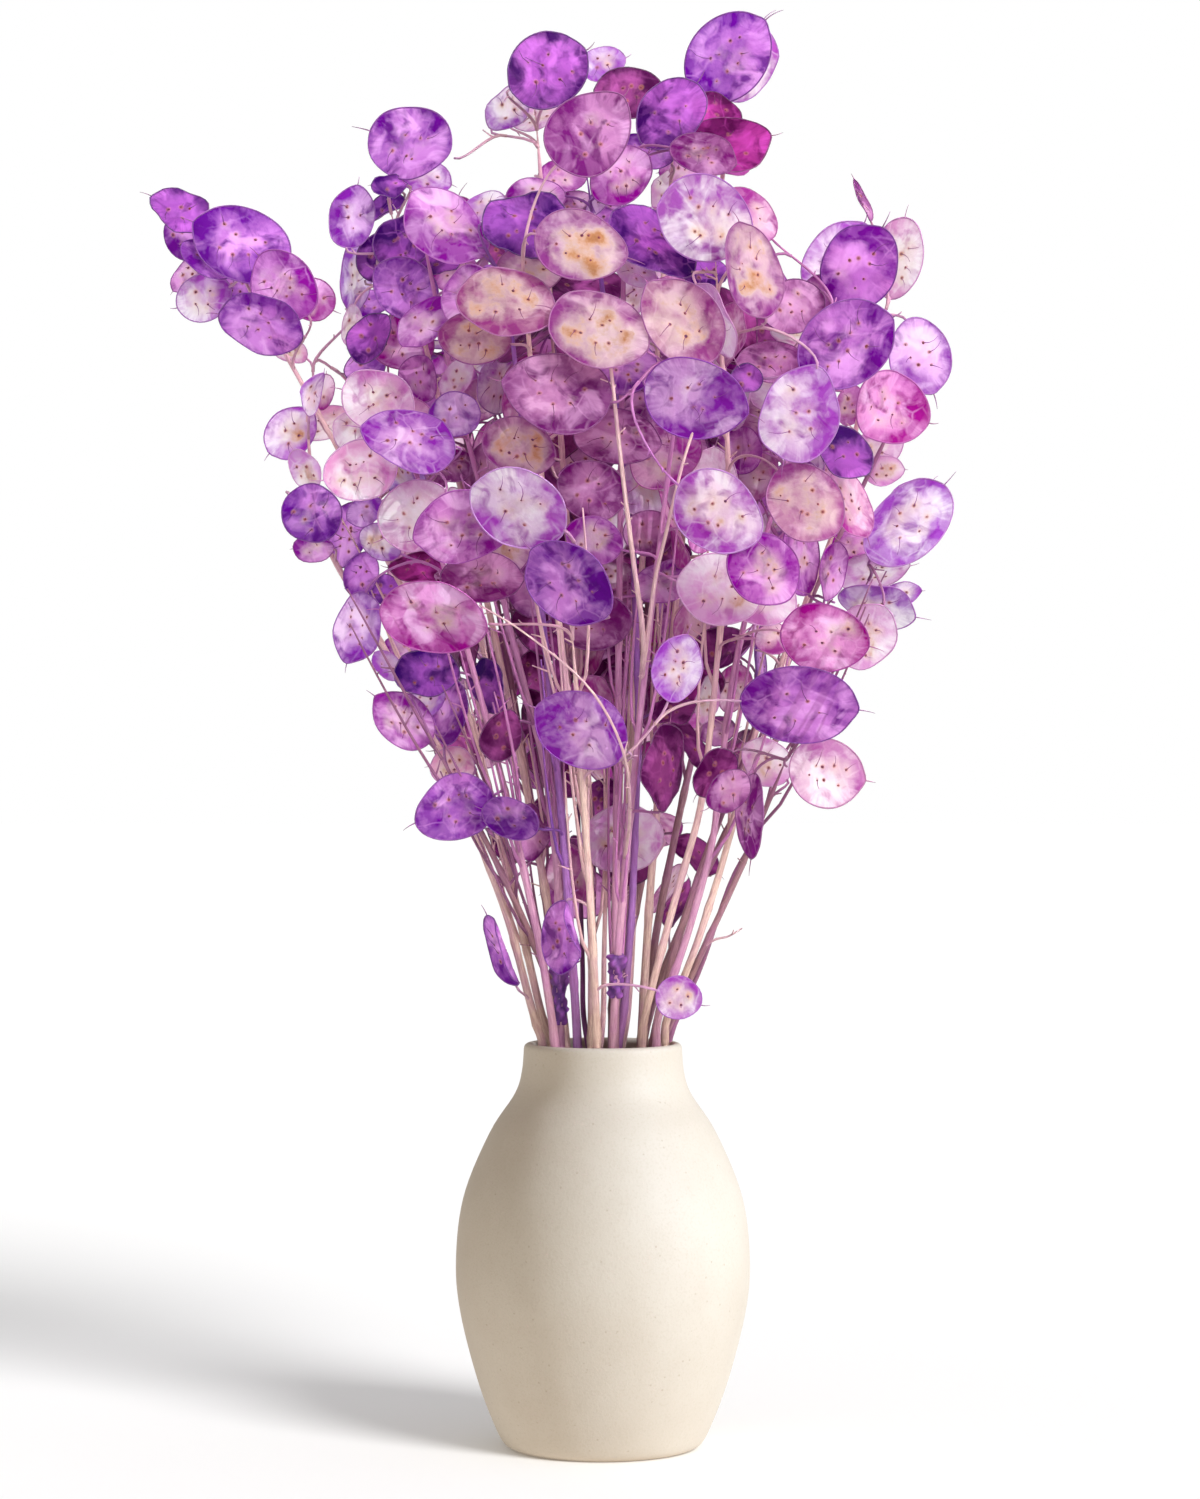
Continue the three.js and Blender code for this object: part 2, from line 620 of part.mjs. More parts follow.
const plank = (wide, thick) => [
  [wide, thick],
  [-wide, thick],
  [-wide, -thick],
  [wide, -thick],
];

// A stalk that widens into its pod, a flat oval plate with a small beak at its far end.
function podSolid(line, pod) {
  const steps = pod.a < TINY_POD ? TINY_POD_STEPS : POD_STEPS;
  const points = [...line];
  const rings = line.map(() => plank(STALK_R, STALK_R));
  for (let i = 1; i <= steps; i++) {
    const turn = (Math.PI * i) / steps;
    points.push(add(pod.c, pod.u, -pod.a * Math.cos(turn) * (i === steps ? POD_BEAK : 1)));
    rings.push(plank(Math.max(pod.b * Math.sin(turn), POD_THICKNESS / 2), POD_THICKNESS / 2));
  }
  return rod(points, rings, pod.v);
}

function stemGeometry(stem) {
  const rings = stem.line.map((p, i) => {
    const r = STEM_FOOT_R + ((STEM_TIP_R - STEM_FOOT_R) * i) / (stem.line.length - 1);
    return Array.from({ length: STEM_SIDES }, (_, k) => {
      const turn = (2 * Math.PI * k) / STEM_SIDES;
      return [r * Math.cos(turn), r * Math.sin(turn)];
    });
  });
  const wood = rod(stem.line, rings, STEM_SIDE);
  const pods = stem.pods.map((pod, i) => podSolid(stem.stalks[i], pod));
  const grown = wasm.Manifold.union([wood, ...pods]).getMesh();
  const geometry = new THREE.BufferGeometry();
  geometry.setAttribute("position", new THREE.BufferAttribute(grown.vertProperties, 3));
  geometry.setIndex(new THREE.BufferAttribute(grown.triVerts, 1));
  geometry.computeVertexNormals();
  return geometry;
}

// The vase's outside, its rounded lip, and its inside down to a flat floor.
function vaseGeometry() {
  const side = new THREE.SplineCurve(VASE_SIDE.map(([r, z]) => new THREE.Vector2(r, z)));
  const outside = side.getPoints(SIDE_STEPS);
  const inside = side
    .getPoints(INSIDE_STEPS)
    .reverse()
    .map((p) => new THREE.Vector2(p.x - VASE_WALL, Math.max(p.y, VASE_FLOOR)));
  const lipR = outside[outside.length - 1].x;
  const lip = [lipR - LIP_ROUND, lipR - VASE_WALL + LIP_ROUND].map((r) => new THREE.Vector2(r, VASE_HEIGHT));
  const [under, floor] = [0, VASE_FLOOR].map((z) => new THREE.Vector2(0, z));
  return new THREE.LatheGeometry([under, ...outside, ...lip, ...inside, floor], LATHE_SIDES);
}

const bunch = new THREE.Group();
const vase = named("vase", vaseGeometry(), STONEWARE, 0.75);
vase.rotation.x = Math.PI / 2;
bunch.add(vase);
growBunch().forEach((stem, i) => {
  const name = "stem_" + String(i + 1).padStart(2, "0");
  bunch.add(named(name, stemGeometry(stem), DYES[stem.dye], 0.5));
});

export default bunch;
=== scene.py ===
"""Looks of the dyed honesty bunch in its stoneware vase, for Blender 4.5.

The vase, and every stem with its stalks and pods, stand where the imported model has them: the tables and the
rule that grow the bunch are the model's own, in millimetres, with each pod's dye and the folds of some pods
added. The finer meshes that replace the model's nodes are made from what that rule gives: papery pods with a
rim, seed scars and whiskers, ribbed stems and thin stalks.
"""

import json
import math

import bpy
import numpy as np
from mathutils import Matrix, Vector
from mathutils.geometry import delaunay_2d_cdt

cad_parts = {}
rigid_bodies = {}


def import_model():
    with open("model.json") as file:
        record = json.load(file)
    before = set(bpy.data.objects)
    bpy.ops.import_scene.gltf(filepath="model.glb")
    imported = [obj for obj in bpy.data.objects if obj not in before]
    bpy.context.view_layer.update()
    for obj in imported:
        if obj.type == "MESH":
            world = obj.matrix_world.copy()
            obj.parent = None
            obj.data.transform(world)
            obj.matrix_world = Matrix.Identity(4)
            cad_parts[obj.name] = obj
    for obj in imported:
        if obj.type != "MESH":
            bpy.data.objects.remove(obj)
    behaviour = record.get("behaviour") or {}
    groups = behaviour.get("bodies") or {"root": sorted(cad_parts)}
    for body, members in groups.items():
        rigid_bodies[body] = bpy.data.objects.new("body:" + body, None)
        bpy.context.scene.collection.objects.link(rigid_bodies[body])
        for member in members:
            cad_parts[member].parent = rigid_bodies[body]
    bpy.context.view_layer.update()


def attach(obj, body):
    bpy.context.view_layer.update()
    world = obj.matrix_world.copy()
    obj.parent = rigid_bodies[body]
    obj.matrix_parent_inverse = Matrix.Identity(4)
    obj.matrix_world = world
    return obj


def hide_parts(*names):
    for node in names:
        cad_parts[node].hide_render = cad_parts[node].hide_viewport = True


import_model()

MM = 0.001  # the tables and the rule are in millimetres, and Blender's meshes in metres

# ---- Vase ----
VASE_HEIGHT = 180
VASE_WALL = 4.5
VASE_FLOOR = 8
LIP_ROUND = 1.6  # the lip is rounded by this much, inside and out

# Radius and height of the outside, from the foot to just under the lip.
VASE_SIDE = [
    [41.5, 0],
    [46.5, 6],
    [55.5, 29],
    [63.5, 60],
    [65.5, 84],
    [62, 112],
    [50.5, 140],
    [39.5, 157],
    [36.2, 167],
    [35.2, VASE_HEIGHT - LIP_ROUND],
]
SEAT_GAP = 0.3  # a stem's foot stands this far off the vase's floor

# ---- The bunch, as it looks from the front ----
# The tables give places and sizes as seen from this far in front of the vase's axis and this
# high above its foot, measured in the plane through the axis. What lies nearer is drawn in.
EYE_DISTANCE = 1850
EYE_HEIGHT = 320
BUNCH_DEPTH = 125  # from the axis to the foremost pods at the bunch's middle height
BUNCH_FOOT = 150  # heights between which the bunch swells and narrows again
BUNCH_TOP = 700
BUNCH_FULLNESS = 0.8
BUNCH_HALF_WIDTH = 200

# Each stem: its dye, its layer, and the points [x, z] of its route from the rim up to its end. A row
# with one point gives the end alone. Layer 1 is the bunch's front, 0 its middle and -1 its back.
STEMS = [
    ["violet", 0.25, [-27, 190], [-41, 252], [-57, 318], [-72, 358], [-92, 386], [-118, 445], [-160, 520]],
    ["violet", 0.15, [-30.5, 190], [-42, 235], [-66, 298], [-90, 343], [-112, 381], [-129, 412], [-132, 464]],
    ["violet", 0.55, [-19, 190], [-20, 255], [-26, 305], [-42, 366], [-54, 425], [-66, 470], [-82, 548]],
    ["lilac", 0.8, [-5, 195], [-5, 240], [-10, 300], [-17, 345], [-26, 420], [-32, 480], [-36, 530]],
    ["mauve", 0.45, [9, 190], [13, 240], [16, 320], [13, 420], [4, 480], [-2, 530], [-8, 572]],
    ["orchid", 0.7, [18, 190], [31, 240], [44, 285], [49, 330], [54, 385], [56, 440], [50, 530]],
    ["mauve", 0.55, [23.5, 190], [36, 222], [49, 268], [57, 340], [68, 390], [80, 432], [104, 512]],
    ["violet", 0.3, [27.5, 190], [40, 218], [54, 262], [68, 320], [86, 366], [104, 410], [122, 500]],
    ["orchid", 0.4, [30.5, 190], [42, 216], [60, 254], [74, 288], [84, 312]],
    ["lilac", 0.6, [-84, 436]],
    ["violet", 0.25, [-96, 556]],
    ["mauve", 0.65, [-44, 525]],
    ["orchid", 0.3, [-30, 594]],
    ["orchid", 0.6, [10, 580]],
    ["violet", 0.3, [32, 586]],
    ["violet", 0.1, [58, 606]],
    ["mauve", 0.75, [34, 474]],
    ["orchid", 0.1, [134, 466]],
    ["lilac", 0.2, [122, 392]],
    ["violet", 0.85, [-14, 366]],
    ["violet", 0.3, [-78, 318]],
    ["mauve", -0.35, [-74, 512]],
    ["violet", -0.45, [-18, 556]],
    ["orchid", -0.5, [36, 540]],
    ["lilac", -0.4, [90, 500]],
    ["mauve", -0.8, [-42, 452]],
    ["lilac", -0.85, [14, 470]],
    ["violet", -0.75, [64, 436]],
]

STEM_FOOT_R = 2.1  # radius at the cut end
STEM_TIP_R = 0.9
STEM_STEPS = 6  # above the neck, where a row gives the end alone
STEM_BOW = 1.25  # over 1, a stem leans out more and more towards its end
STEM_SPACING = 5.1  # between the middles of two stems
STEM_SHIFT = 5  # a stem that is in the way moves forward or back by steps of this much
STEM_SHIFTS = 17
LIP_RINGS = 5  # the stems pass the lip on rings
LIP_RING_STEP = 5.6
LIP_DRAW = 0.2  # at the lip a stem is this share of its end's distance from the axis,
LIP_SHARE = 0.9  # or at this share of its route's first point
LIP_CHOICES = 30
FOOT_DRAW = 0.86  # on the floor a stem is this share of its distance from the axis at the lip

# Each pod: x, z, length, width, lean of its long axis in degrees, layer, as seen, and its dye. Some have a
# fold: the way that the flap faces in degrees, how far out it starts in half widths, and how far it is bent.
PODS = [
    # the crown
    (-25, 613, 38, 33, 30, 0.55, "deep"),
    (-42, 596, 24, 16, 50, 0.3, "lilac"),
    (-28, 593, 26, 13, 20, 0.15, "blush"),
    (0, 616, 20, 16, 15, 0.25, "lilac"),
    (12, 603, 30, 24, 0, 0.35, "plum"),
    (-6, 585, 42, 35, 45, 0.85, "dusk"),
    (30, 594, 36, 28, 50, 0.6, "deep"),
    (8, 566, 30, 23, 40, 0.6, "orchid"),
    (20, 577, 24, 15, -30, 0.4, "violet"),
    (50, 595, 24, 16, -20, 0.3, "crimson"),
    (54, 580, 42, 27, 5, 0.5, "crimson"),
    (45, 576, 30, 20, -10, 0.75, "dusk"),
    (56, 619, 44, 33, 45, 0.35, "violet", (-20, 0.3, 30)),
    (66, 617, 38, 22, 60, 0.1, "lilac"),
    (46, 547, 42, 38, -10, 0.85, "lilac"),
    (66, 549, 28, 20, -50, 0.4, "rose"),
    (22, 537, 44, 27, -38, 0.7, "deep"),
    (66, 524, 43, 28, -72, 0.9, "amber"),
    (26, 560, 18, 8, 70, 0.3, "blush"),
    (46, 522, 20, 12, 0, 0.4, "deep"),
    (-2, 556, 18, 8, 65, 0.45, "blue"),
    # the upper left
    (-188, 551, 26, 19, -25, 0.2, "deep"),
    (-188, 538, 20, 14, -60, 0.05, "violet"),
    (-161, 536, 44, 34, -25, 0.35, "violet"),
    (-178, 512, 25, 21, 20, 0.1, "lilac"),
    (-176, 529, 26, 14, -35, 0.5, "violet"),
    (-142, 517, 34, 27, -50, 0.5, "orchid"),
    (-129, 511, 21, 19, -30, 0.2, "magenta"),
    (-152, 500, 38, 24, -15, 0.3, "violet"),
    (-141, 489, 20, 9, -25, 0.1, "blush"),
    (-85, 580, 40, 34, -20, 0.35, "violet", (-52, 0.1, 24)),
    (-112, 548, 28, 21, 80, 0.25, "blue"),
    (-95, 562, 16, 11, 0, 0.4, "deep"),
    (-69, 545, 42, 27, -42, 0.7, "orchid", (225, 0.2, -35)),
    (-88, 537, 30, 24, 40, 0.35, "deep"),
    (-100, 530, 24, 18, 60, 0.2, "deep"),
    (-110, 521, 32, 12, 85, 0.1, "lilac"),
    (-88, 516, 30, 26, -30, 0.5, "violet"),
    (-73, 528, 18, 12, 10, 0.3, "deep"),
    (-80, 502, 28, 20, 50, 0.6, "orchid"),
    (-103, 494, 24, 20, 50, 0.35, "deep"),
    (-90, 492, 30, 24, -20, 0.2, "magenta"),
    (-112, 500, 18, 10, 80, 0.2, "blush"),
    (-34, 545, 39, 30, 0, 0.8, "deep"),
    (-10, 535, 41, 32, -15, 1, "amber"),
    (-43, 511, 45, 30, -18, 1, "amber"),
    (-57, 494, 32, 24, -10, 0.8, "amber"),
    (-60, 513, 28, 22, 60, 0.55, "orchid"),
    (-33, 524, 28, 18, -10, 0.6, "amber"),
    (-30, 557, 26, 18, 0, 0.4, "orchid"),
    (-53, 553, 20, 12, 20, 0.3, "lilac"),
    # the front
    (-2, 498, 46, 33, -25, 1, "amber"),
    (-20, 470, 48, 36, -12, 0.95, "dusk"),
    (35, 501, 44, 32, -50, 0.95, "amber", (32, 0.3, 42)),
    (50, 502, 36, 12, -62, 0.8, "blush"),
    (57, 495, 28, 12, 80, 0.6, "rose"),
    (41, 467, 46, 34, -15, 0.9, "blue"),
    (-37, 446, 33, 26, -20, 0.75, "amber"),
    (-38, 418, 45, 33, -25, 1, "lilac"),
    (-5, 426, 32, 26, -20, 0.6, "dusk"),
    (6, 450, 38, 26, -10, 0.5, "dusk"),
    (22, 430, 34, 26, 50, 0.3, "blush"),
    (20, 407, 24, 20, 0, 0.3, "dusk"),
    (14, 523, 20, 12, -30, 0.6, "blush"),
    (-15, 385, 44, 33, -40, 1, "violet"),
    (-4, 404, 26, 20, -20, 0.6, "orchid"),
    (-5, 368, 36, 26, 0, 0.4, "dusk"),
    (-9, 319, 44, 33, -25, 0.95, "blue", (21, 0.5, -48)),
    (33, 347, 30, 22, 75, 0.9, "lilac"),
    (51, 416, 42, 35, -35, 0.95, "lilac", (202, 0.3, -30)),
    (72, 391, 35, 31, -30, 0.9, "orchid"),
    (52, 382, 38, 32, -10, 0.65, "blush"),
    (70, 380, 34, 28, -30, 0.6, "blush"),
    (54, 355, 28, 20, 0, 0.3, "plum"),
    (76, 360, 16, 14, 0, 0.5, "rose"),
    (28, 303, 38, 19, 85, 0.5, "plum"),
    (42, 314, 28, 16, -50, 0.3, "plum"),
    (31, 328, 20, 13, 10, 0.2, "plum"),
    (46, 333, 22, 11, 80, 0.1, "blush"),
    # the right
    (114, 525, 38, 33, 60, 0.55, "violet"),
    (106, 527, 40, 32, 60, 0.2, "lilac"),
    (131, 530, 36, 22, 80, 0.1, "blush"),
    (115, 555, 20, 7, -65, 0.2, "dusk"),
    (108, 491, 46, 36, 30, 0.7, "violet"),
    (141, 486, 34, 28, -70, 0.2, "blue"),
    (88, 460, 43, 35, 70, 0.9, "lilac"),
    (85, 508, 28, 24, 30, 0.5, "dusk"),
    (95, 511, 22, 15, 70, 0.3, "dusk"),
    (75, 483, 30, 20, 0, 0.45, "dusk"),
    (64, 476, 15, 13, 0, 0.7, "deep"),
    (126, 463, 40, 32, -20, 0.35, "magenta", (150, 0.1, 50)),
    (122, 444, 26, 18, 30, 0.1, "blush"),
    (108, 443, 27, 21, -45, 0.6, "deep"),
    (90, 421, 38, 32, -50, 0.85, "amber"),
    (110, 420, 32, 18, -70, 0.45, "rose"),
    (136, 412, 46, 32, 45, 0.35, "lilac", (140, 0.5, -20)),
    (99, 360, 39, 29, -10, 0.85, "magenta"),
    (117, 361, 30, 26, 60, 0.35, "blush"),
    (121, 373, 36, 20, -10, 0.2, "lilac"),
    (121, 389, 32, 18, 5, 0.1, "blush"),
    (102, 390, 26, 14, 75, 0.4, "orchid"),
    (87, 330, 51, 34, -5, 0.75, "violet"),
    (99, 300, 35, 31, -10, 0.5, "petal"),
    (73, 305, 24, 20, -40, 0.2, "blush"),
    (50, 300, 24, 17, 50, 0.6, "plum"),
    (56, 292, 22, 17, 40, 0.75, "dusk"),
    (64, 281, 38, 12, 80, 0.6, "dusk"),
    # the left
    (-130, 469, 20, 8, 85, 0.2, "lilac"),
    (-139, 452, 26, 21, 45, 0.2, "lilac"),
    (-124, 456, 26, 16, 15, 0.05, "blush"),
    (-133, 435, 20, 13, -60, 0.1, "blush"),
    (-108, 435, 33, 27, 15, 0.8, "blush"),
    (-100, 466, 32, 28, -20, 0.6, "blush"),
    (-111, 457, 26, 15, 60, 0.2, "blush"),
    (-86, 450, 42, 26, -12, 0.85, "blue"),
    (-66, 460, 23, 20, 0, 0.65, "blue"),
    (-84, 415, 34, 30, 35, 0.75, "blush"),
    (-61, 410, 45, 32, 15, 0.9, "orchid"),
    (-130, 416, 28, 26, -40, 0.4, "violet"),
    (-129, 400, 18, 12, 0, 0.2, "orchid"),
    (-106, 417, 17, 13, 30, 0.4, "blue"),
    (-99, 403, 20, 15, -30, 0.4, "lilac"),
    (-108, 389, 20, 14, 70, 0.3, "violet"),
    (-54, 387, 36, 22, 0, 0.7, "dusk"),
    (-82, 392, 26, 14, 0, 0.4, "crimson"),
    (-75, 370, 48, 31, -8, 0.95, "magenta"),
    (-66, 438, 20, 16, 0, 0.3, "dusk"),
    (-65, 476, 20, 13, 60, 0.4, "blush"),
    (-110, 365, 32, 21, 75, 0.35, "blue"),
    (-96, 348, 16, 11, -45, 0.4, "lilac"),
    (-78, 345, 28, 22, 0, 0.45, "deep"),
    (-89, 324, 31, 22, -40, 0.5, "orchid"),
    (-79, 333, 22, 14, 60, 0.3, "lilac"),
    (-68, 327, 28, 16, 80, 0.3, "violet"),
    (-67, 303, 20, 18, 0, 0.3, "blush"),
    (-66, 284, 36, 28, 20, 0.5, "violet"),
    (-41, 280, 26, 18, -20, 0.55, "violet"),
    (-45, 317, 24, 17, 70, 0.4, "plum"),
    (-52, 338, 28, 14, -60, 0.3, "deep"),
    # low on the stems
    (-30, 274, 26, 14, 80, 0.2, "dusk"),
    (-18, 227, 32, 20, 85, 0.8, "violet", (15, 0.62, 95)),
    (-45, 221, 34, 12, -68, 0.4, "violet", (20, 0.4, 40)),
    (9, 271, 36, 30, 0, 0.1, "blush"),
    (34, 200, 21, 19, -20, 0.95, "lilac"),
]
POD_RATIO = 1.22  # a pod's real length over its real width: what looks rounder or slimmer is turned
POD_MOST_TURN = (68 * math.pi) / 180
DEPTH_STEP = 5  # a pod that is in the way moves forward or back by steps of this much
DEPTH_TRIES = 21

# The back, the sides and the inside of the bunch, filled by a seeded draw.
FILL_SEED = 20240
FILL_PODS = 62
FILL_TRIES = 3000
FILL_CENTRE = [-4, 12, 432]
FILL_REACH = [118, 118, 140]
FILL_OUT = [0.45, 1]  # how much of its reach a filled pod lies at
FILL_FRONT = -75  # nothing is filled in further forward than this
FILL_TURN = 0.75  # how far a filled pod may turn from facing straight out
FILL_HALF_LENGTH = [15, 23]
FILL_RATIO = [1.12, 1.32]

# ---- Stalks ----
STALK_R = 0.55
STALK_SHORTEST = 7
STALK_LONGEST = 95
STALK_LEAVES = 0.3  # how strongly a stalk keeps to the way of the wood that it leaves,
STALK_ARRIVES = 0.25  # and to the way of its pod
CURVE_STEPS = 8
MIDDLING_STALK = 26  # from this length a stalk has a bend, and from the next a second one
LONG_STALK = 50
LOWEST_BUD = 192  # no stalk leaves a stem below this height
BUD_SPACING = 8
LEAST_ONWARD = 0.15  # cosines: how far a stalk may turn from the way of its wood,
LEAST_END_ON = -0.35  # and from the way of its pod
ONWARD_WORTH = 0.6  # what going onward, and meeting the pod end on, take off a stalk's cost
END_ON_WORTH = 0.4
CROWDING = 2.5  # each pod that a stem has makes it this much dearer
STALK_CHOICES = 10  # buds that are tried for each place of a pod

# ---- Clear space ----
POD_GAP = 1.9  # between the middles of two pods, where they pass each other
WOOD_GAP = 1.5  # between a pod's middle and a stalk's or stem's surface
OWN_STALK_GAP = 0.2  # between a pod's middle and its own stalk, up to the stalk's last step
STALK_GAP = 0.7  # between two stems' stalks
STEM_MEAN_R = 1.5
RIM_POINTS = 14  # points round a pod that are tested
PATH_STEP = 5  # between the points of a stem that are tested


# ---- Small vector sums ----
def unit(p):
    return p / np.sqrt((p * p).sum(-1, keepdims=True))


def dots(p, q):
    return (p * q).sum(-1)


def turns(count):
    """That many even steps of a full turn."""
    return 2 * math.pi * np.arange(count) / count


def far_apart(p, q):
    return math.sqrt(((q - p) ** 2).sum())


def reach_along(path):
    """How far along the path each of its points lies."""
    return np.append(0, np.cumsum(np.sqrt(((path[1:] - path[:-1]) ** 2).sum(-1))))


def draws(seed):
    """A seeded row of draws from 0 to 1, the CAD model's own."""
    state = seed
    while True:
        state = (state * 1664525 + 1013904223) % 4294967296
        yield state / 4294967296


# ---- From the front view to the bunch ----
def depth_of(x, z, layer):
    """How far behind the vase's axis a layer lies there: the bunch swells and narrows with the height."""
    swell = math.sin(math.pi * (z - BUNCH_FOOT) / (BUNCH_TOP - BUNCH_FOOT)) ** BUNCH_FULLNESS
    return -layer * BUNCH_DEPTH * swell * math.sqrt(1 - (x / BUNCH_HALF_WIDTH) ** 2)


def placed(x, z, y):
    """The place at that depth that looks as if it were at x and z in the plane through the axis."""
    k = 1 + y / EYE_DISTANCE
    return np.array([x * k, y, EYE_HEIGHT + (z - EYE_HEIGHT) * k])


def pod_seen(row, y, side):
    """A pod that looks long by wide, with its real size and turn worked out from its ratio."""
    x, z, long, wide, lean = row[:5]
    k = (1 + y / EYE_DISTANCE) / 2
    angle = math.radians(lean)
    along = np.array([math.cos(angle), 0, math.sin(angle)])
    across = np.array([-math.sin(angle), 0, math.cos(angle)])
    forward = np.array([0.0, -1, 0])
    a, b, u, v = long * k, wide * k, along, across
    if a / b >= POD_RATIO:
        turn = min(math.acos(b * POD_RATIO / a), POD_MOST_TURN)
        b /= math.cos(turn)
        v = across * math.cos(turn) + forward * math.sin(turn) * side
    else:
        turn = math.acos(a / (b * POD_RATIO))
        a = b * POD_RATIO
        u = along * math.cos(turn) + forward * math.sin(turn) * side
    pod = {"c": placed(x, z, y), "u": u, "v": v, "n": np.cross(u, v), "a": a, "b": b}
    if len(row) > 7:
        facing, share, bend = row[7]
        turn = math.radians(facing)
        pod["fold"] = (np.array([math.cos(turn), 0, math.sin(turn)]), share, bend)
    return pod


# ---- Clearances ----
def rim_of(pod):
    t = turns(RIM_POINTS)
    return pod["c"] + np.outer(pod["a"] * np.cos(t), pod["u"]) + np.outer(pod["b"] * np.sin(t), pod["v"])


def meets(points, joined, pods, gap):
    """Whether the points, or the lines that join each to the next, come nearer than gap to the ovals."""
    c, u, v, n, a, b = pods
    local = points - c
    high = dots(local, n)

    def in_oval(p):
        return (dots(p, u) / (a + gap)) ** 2 + (dots(p, v) / (b + gap)) ** 2 < 1

    after = np.roll(local, -1, axis=-2)
    high_after = np.roll(high, -1, axis=-1)
    crosses = joined & (high * high_after < 0)
    share = np.where(crosses, high / np.where(crosses, high - high_after, 1), 0)
    through = crosses & in_oval(local + (after - local) * share[..., None])
    return ((np.abs(high) < gap) & in_oval(local) | through).any(-1)


def one(pod):
    """The pod as meets takes it."""
    return pod["c"], pod["u"], pod["v"], pod["n"], pod["a"], pod["b"]


def distances(points, line_from, line_to):
    """How far each point is from each straight piece."""
    way = line_to - line_from
    off = points[:, None] - line_from
    share = np.clip(dots(off, way) / dots(way, way), 0, 1)
    return np.sqrt(((off - way * share[..., None]) ** 2).sum(-1))


def ways(path):
    """The way that a path goes at each of its points."""
    ends = np.concatenate([path[:1], path, path[-1:]])
    return unit(ends[2:] - ends[:-2])


def stepped(path, step):
    """Points along a path, no further apart than step."""
    out = [path[0]]
    for before, after in zip(path[:-1], path[1:]):
        way = after - before
        count = math.ceil(math.sqrt(dots(way, way)) / step)
        out += [before + way * (k / count) for k in range(1, count + 1)]
    return np.array(out)


# ---- Laying out the stems ----
def to_and_fro(k):
    """0, 1, -1, 2, -2 and so on."""
    return (1 if k % 2 else -1) * math.ceil(k / 2)


def lip_places():
    """Places for the stems across the lip, on rings from the middle out."""
    places = [(0.0, 0.0)]
    for ring in range(1, LIP_RINGS + 1):
        r = ring * LIP_RING_STEP
        count = math.floor(2 * math.pi * r / STEM_SPACING)
        for k in range(count):
            turn = 2 * math.pi * k / count
            places.append((r * math.cos(turn), r * math.sin(turn)))
    return places


def stem_line(place, route, layer, shift):
    """A stem's line, from the vase's floor to its place at the lip and along its route to its end."""
    x, y = place
    end_x, end_z = route[-1]
    end = placed(end_x, end_z, depth_of(end_x, end_z, layer) + shift)
    line = [[x * FOOT_DRAW, y * FOOT_DRAW, VASE_FLOOR + SEAT_GAP], [x, y, VASE_HEIGHT]]
    if len(route) > 1:
        for px, pz in route:
            s = (pz - VASE_HEIGHT) / (end_z - VASE_HEIGHT)
            line.append(placed(px, pz, y + (end[1] - y) * s**STEM_BOW))
    else:
        for i in range(1, STEM_STEPS + 1):
            s = i / STEM_STEPS
            out = s**STEM_BOW
            high = VASE_HEIGHT + (end[2] - VASE_HEIGHT) * s
            line.append([x + (end[0] - x) * out, y + (end[1] - y) * out, high])
    return np.array(line, float)


def lay_stem(row, stems):
    """The stem at the first place and the first shift where it is clear of those before it."""
    dye, layer, *route = row
    end_x, end_z = route[-1]
    own_x = route[0][0] * LIP_SHARE if len(route) > 1 else end_x * LIP_DRAW
    own_y = depth_of(end_x, end_z, layer) * LIP_DRAW
    places = sorted(lip_places(), key=lambda p: (p[0] - own_x) ** 2 + (p[1] - own_y) ** 2)[:LIP_CHOICES]
    for k in range(STEM_SHIFTS):
        for place in places:
            line = stem_line(place, route, layer, to_and_fro(k) * STEM_SHIFT)
            path = stepped(line, PATH_STEP)
            if all(distances(path, s["line"][:-1], s["line"][1:]).min() >= STEM_SPACING for s in stems):
                return {"dye": dye, "line": line, "pods": [], "stalks": []}
    raise ValueError(f"no clear way for the stem that ends at {end_x}, {end_z}")


